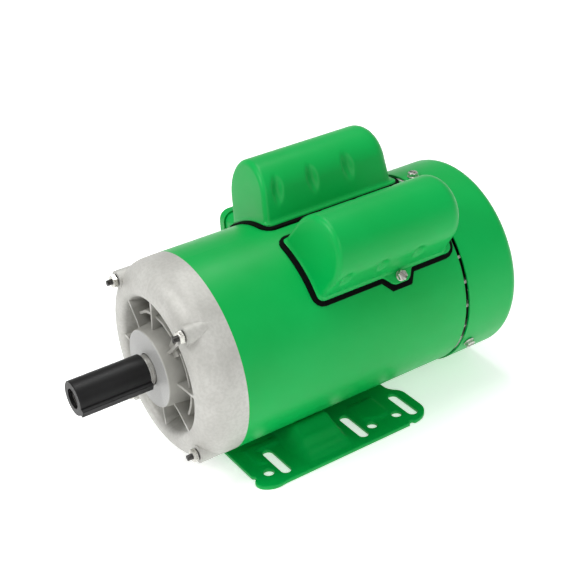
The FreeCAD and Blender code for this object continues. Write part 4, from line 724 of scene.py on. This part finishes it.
def add_small_screws():
    """One screw on each capacitor cover's tab and three round the fan cover."""
    seat = SHELL_RADIUS + GASKET_THICK + FLANGE_THICK + 0.07 * MM
    for name, (degrees, side) in COVER_ANGLES.items():
        place = standing(degrees + side * SCREW_TURN) @ Matrix.Translation((0, SCREW_STATION, seat))
        place = place @ Matrix.Rotation(math.radians(38), 4, "Z")
        slotted_hex_head("cover_screw_" + name, place, 4.5 * MM, "cover_screws")
    low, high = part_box("fan_cover_screws")
    station = (low.y + high.y) / 2
    for number, degrees in enumerate((0, 120, 240)):
        place = standing(degrees) @ Matrix.Translation((0, station, high.z - AXIS - SCREW_TALL))
        place = place @ Matrix.Rotation(math.radians(70 * number + 15), 4, "Z")
        slotted_hex_head("fan_cover_screw_%d" % number, place, 4.7 * MM, "fan_cover_screws")


# --------------------------------------------------------------------------------------
# Capacitor covers
# --------------------------------------------------------------------------------------
FLANGE_FRONT, FLANGE_REAR = (corner[1] for corner in edges("start_capacitor_cover"))
COVER_HALF = 28.4 * MM
COVER_CENTRE = 103.6 * MM
COVER_FRONT = FLANGE_FRONT + 0.8 * MM
COVER_REAR = FLANGE_REAR - 1.6 * MM
COVER_FOOT = 79.0 * MM
COVER_SLOPE = 8.0 / 45.0
LEAN_RUN = 60 * MM
LEAN_LEVEL = 85 * MM
FRONT_ROUND = 4.5 * MM
REAR_ROUND = 12.0 * MM
DIMPLE_STATIONS = (8.2 * MM, 43.8 * MM, 79.4 * MM)
DIMPLE_HEIGHT = 105.6 * MM
DIMPLE_HALF = 6.6 * MM
DIMPLE_REACH = 14.0 * MM
DIMPLE_DEPTH = 3.0 * MM
TAB_DIMPLE_HEIGHT = DIMPLE_HEIGHT - 4.0 * MM
TAB_DIMPLE_REACH = 9.0 * MM
FLARE_HEIGHT = 2.4 * MM
FLARE_SIDE = 1.2 * MM
FLARE_END = 1.0 * MM
FLANGE_HALF = 29.8 * MM
TAB_REACH = 37.7 * MM


def arch_points(half):
    """Points over the arch from one foot to the other, as (side, height, outward normal)."""
    legs = [COVER_FOOT + (COVER_CENTRE - COVER_FOOT) * (i / 14) for i in range(14)]
    points = [(half, height, 1.0, 0.0) for height in legs]
    for i in range(73):
        turn = math.pi * i / 72
        points.append((half * math.cos(turn), COVER_CENTRE + half * math.sin(turn),
                       math.cos(turn), math.sin(turn)))
    return points + [(-half, height, -1.0, 0.0) for height in reversed(legs)]


def dimple_depth(station, height, on_tab_side):
    """Depth of the pressed dents; those over the screw tab are short and sit low."""
    level, reach_up = DIMPLE_HEIGHT, DIMPLE_REACH
    if on_tab_side:
        level, reach_up = TAB_DIMPLE_HEIGHT, TAB_DIMPLE_REACH
    deepest = 0.0
    for middle in DIMPLE_STATIONS:
        across = (station - middle) / DIMPLE_HALF
        along = (height - level) / reach_up
        reach = across ** 2 + along ** 2
        if reach < 1:
            deepest = max(deepest, DIMPLE_DEPTH * (1 - reach) ** 2)
    return deepest


def cover_stations():
    """(inset from the full section, station) rows from the front face to the rear face."""
    rows = [(COVER_HALF, COVER_FRONT), (COVER_HALF * 0.6, COVER_FRONT), (FRONT_ROUND, COVER_FRONT)]
    for i in range(1, 9):
        turn = math.pi / 2 * i / 8
        rows.append((FRONT_ROUND * (1 - math.sin(turn)),
                     COVER_FRONT + FRONT_ROUND * (1 - math.cos(turn))))
    start, end = COVER_FRONT + FRONT_ROUND, COVER_REAR - REAR_ROUND
    count = 92
    for i in range(1, count + 1):
        rows.append((0.0, start + (end - start) * i / count))
    for i in range(1, 11):
        turn = math.pi / 2 * i / 10
        rows.append((REAR_ROUND * (1 - math.cos(turn)), end + REAR_ROUND * math.sin(turn)))
    rows += [(COVER_HALF * 0.6, COVER_REAR), (COVER_HALF, COVER_REAR)]
    return rows


def cover_dome(place, tab_side):
    """The hump: an arch with dented sides, a leaning front and a foot that flares outwards."""
    seat = SHELL_RADIUS + GASKET_THICK + FLANGE_THICK
    middle = (COVER_FRONT + COVER_REAR) / 2
    rows = []
    for inset, station in cover_stations():
        on_end = inset > 0.5 * MM
        half = max(COVER_HALF - inset, 0.0)
        lean = max(0.0, 1 - (station - COVER_FRONT) / LEAN_RUN)
        row = []
        for side, height, out_u, out_v in arch_points(half):
            foot = math.sqrt(seat ** 2 - side ** 2) - 0.4 * MM
            height = max(height, foot)
            flare = max(0.0, 1 - (height - foot) / FLARE_HEIGHT) ** 2
            push = FLARE_SIDE * flare * half / COVER_HALF
            if not on_end and abs(out_u) > 0.55:
                push -= dimple_depth(station, height, side * tab_side > 0)
            along = station + COVER_SLOPE * (height - LEAN_LEVEL) * lean
            if on_end:
                along += FLARE_END * flare * (-1 if station < middle else 1)
            row.append(place @ Vector((side + out_u * push, along, height + out_v * push)))
        rows.append(row)
    return strip(rows)


def cover_flange(place, side):
    """The cover's flange lying on its gasket, with the screw tab on one side."""
    low = SHELL_RADIUS + GASKET_THICK + 0.05 * MM
    high = low + FLANGE_THICK
    half, tab, at = FLANGE_HALF, TAB_REACH, SCREW_STATION
    round_off, border = 6.5 * MM, 6 * MM
    loop = rounded_loop([
        (-half, FLANGE_FRONT, round_off), (half, FLANGE_FRONT, round_off),
        (half, at - 15.5 * MM, 2 * MM), (tab, at - 7.5 * MM, 3.5 * MM),
        (tab, at + 7.5 * MM, 3.5 * MM), (half, at + 12.5 * MM, 2 * MM),
        (half, FLANGE_REAR, round_off), (-half, FLANGE_REAR, round_off),
    ], 2.5 * MM)
    under_dome = [Vector((max(border - half, min(half - border, p.x)),
                          max(FLANGE_FRONT + border, min(FLANGE_REAR - border, p.y))))
                  for p in loop]
    rows = []
    for edge, level in ((under_dome, low), (loop, low), (loop, high - 0.45 * MM),
                        (shifted_loop(loop, 0.13 * MM), high - 0.13 * MM),
                        (shifted_loop(loop, 0.45 * MM), high), (under_dome, high)):
        rows.append([place @ Vector((side * p.x, p.y, math.sqrt(level ** 2 - p.x ** 2)))
                     for p in edge])
    return strip(rows, closed=True)


def add_capacitor_covers():
    """Both covers, each a hump and its flange in one piece."""
    for name, (degrees, side) in COVER_ANGLES.items():
        place = standing(degrees)
        points, faces = join(cover_dome(place, side), cover_flange(place, side))
        cover = piece("capacitor_cover_" + name, points, faces, "green_paint", sharp=60.0)
        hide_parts(name + "_capacitor_cover")


# --------------------------------------------------------------------------------------
# Stage
# --------------------------------------------------------------------------------------
def soften_edges():
    """Small rounded edges on the box lid and on the cast bell."""
    for name in ("terminal_box_lid", "drive_end_bell"):
        bevel = nodes[name].modifiers.new("soft_edges", "BEVEL")
        bevel.width = 0.5 * MM
        bevel.segments = 2
        bevel.limit_method = "ANGLE"
        bevel.angle_limit = math.radians(35)


def add_floor():
    """A wide pale floor just under the mounting plane."""
    mesh = bpy.data.meshes.new("floor")
    reach = 40.0
    corners = [(-reach, -reach, 0), (reach, -reach, 0), (reach, reach, 0), (-reach, reach, 0)]
    mesh.from_pydata(corners, [], [(0, 1, 2, 3)])
    n = Nodes("floor_pale")
    shade = n.noise(2.0, 2.0)
    colour = n.blend(shade, (0.94, 0.94, 0.94), (0.96, 0.96, 0.96))
    mesh.materials.append(n.finish(colour, 0.85, Emission_Color=(1.0, 1.0, 1.0),
                                   Emission_Strength=0.45))
    floor = bpy.data.objects.new("floor", mesh)
    bpy.context.scene.collection.objects.link(floor)
    floor.location.z = -0.2 * MM


def add_area_light(name, location, size, power):
    """A white soft box that faces the middle of the motor."""
    lamp = bpy.data.lights.new(name, "AREA")
    lamp.shape = "RECTANGLE"
    lamp.size, lamp.size_y = size
    lamp.energy = power
    item = bpy.data.objects.new(name, lamp)
    bpy.context.scene.collection.objects.link(item)
    item.location = location
    towards = Vector((0.0, 0.0, 0.09)) - item.location
    item.rotation_euler = towards.to_track_quat("-Z", "Y").to_euler()


def add_lights():
    """A pale sky, brightest at the horizon, and three soft boxes."""
    world = bpy.data.worlds.new("studio")
    world.use_nodes = True
    links, sky = world.node_tree.links, world.node_tree.nodes["Background"]
    place = world.node_tree.nodes.new("ShaderNodeTexCoord")
    parts = world.node_tree.nodes.new("ShaderNodeSeparateXYZ")
    links.new(place.outputs["Generated"], parts.inputs[0])
    total = world.node_tree.nodes.new("ShaderNodeMath")
    for slot, numbers in enumerate(((0.0, 0.9, 0.14, 0.48), (0.0, 0.40, 0.66, 0.0))):
        share = world.node_tree.nodes.new("ShaderNodeMapRange")
        for socket, number in zip(share.inputs[1:5], numbers):
            socket.default_value = number
        links.new(parts.outputs["Z"], share.inputs[0])
        links.new(share.outputs[0], total.inputs[slot])
    links.new(total.outputs[0], sky.inputs["Strength"])
    sky.inputs["Color"].default_value = (1.0, 1.0, 1.0, 1.0)
    bpy.context.scene.world = world
    bpy.context.scene.view_settings.view_transform = "Standard"
    add_area_light("key", (-0.20, -1.15, 1.25), (0.6, 0.6), 11.0)
    add_area_light("fill", (1.25, -0.25, 0.95), (0.9, 0.9), 4.5)
    add_area_light("top", (-0.20, 0.15, 1.45), (0.35, 1.2), 8.5)


def add_camera():
    """The photograph's view: azimuth, elevation and a slight roll, at about one metre."""
    azimuth, elevation, roll = math.radians(58.31), math.radians(29.82), math.radians(-3.82)
    distance, aside, above = 1.02847, 0.00537, 0.03147
    flat = math.cos(elevation)
    back = Vector((math.sin(azimuth) * flat, -math.cos(azimuth) * flat, math.sin(elevation)))
    level = Vector((math.cos(azimuth), math.sin(azimuth), 0))
    rise = back.cross(level)
    right = math.cos(roll) * level + math.sin(roll) * rise
    up = -math.sin(roll) * level + math.cos(roll) * rise
    camera = bpy.data.cameras.new("camera")
    camera.sensor_width = 36.0
    camera.lens = 78.15
    item = bpy.data.objects.new("camera", camera)
    bpy.context.scene.collection.objects.link(item)
    turn = Matrix((right, up, back)).transposed()
    item.matrix_world = Matrix.Translation(
        Vector((0, 0, 0.080)) + back * distance + right * aside + up * above) @ turn.to_4x4()
    bpy.context.scene.camera = item


paint_cad_nodes()
soften_edges()
add_foot_base()
add_through_bolts()
add_small_screws()
add_capacitor_covers()
add_floor()
add_lights()
add_camera()

bpy.context.view_layer.update()
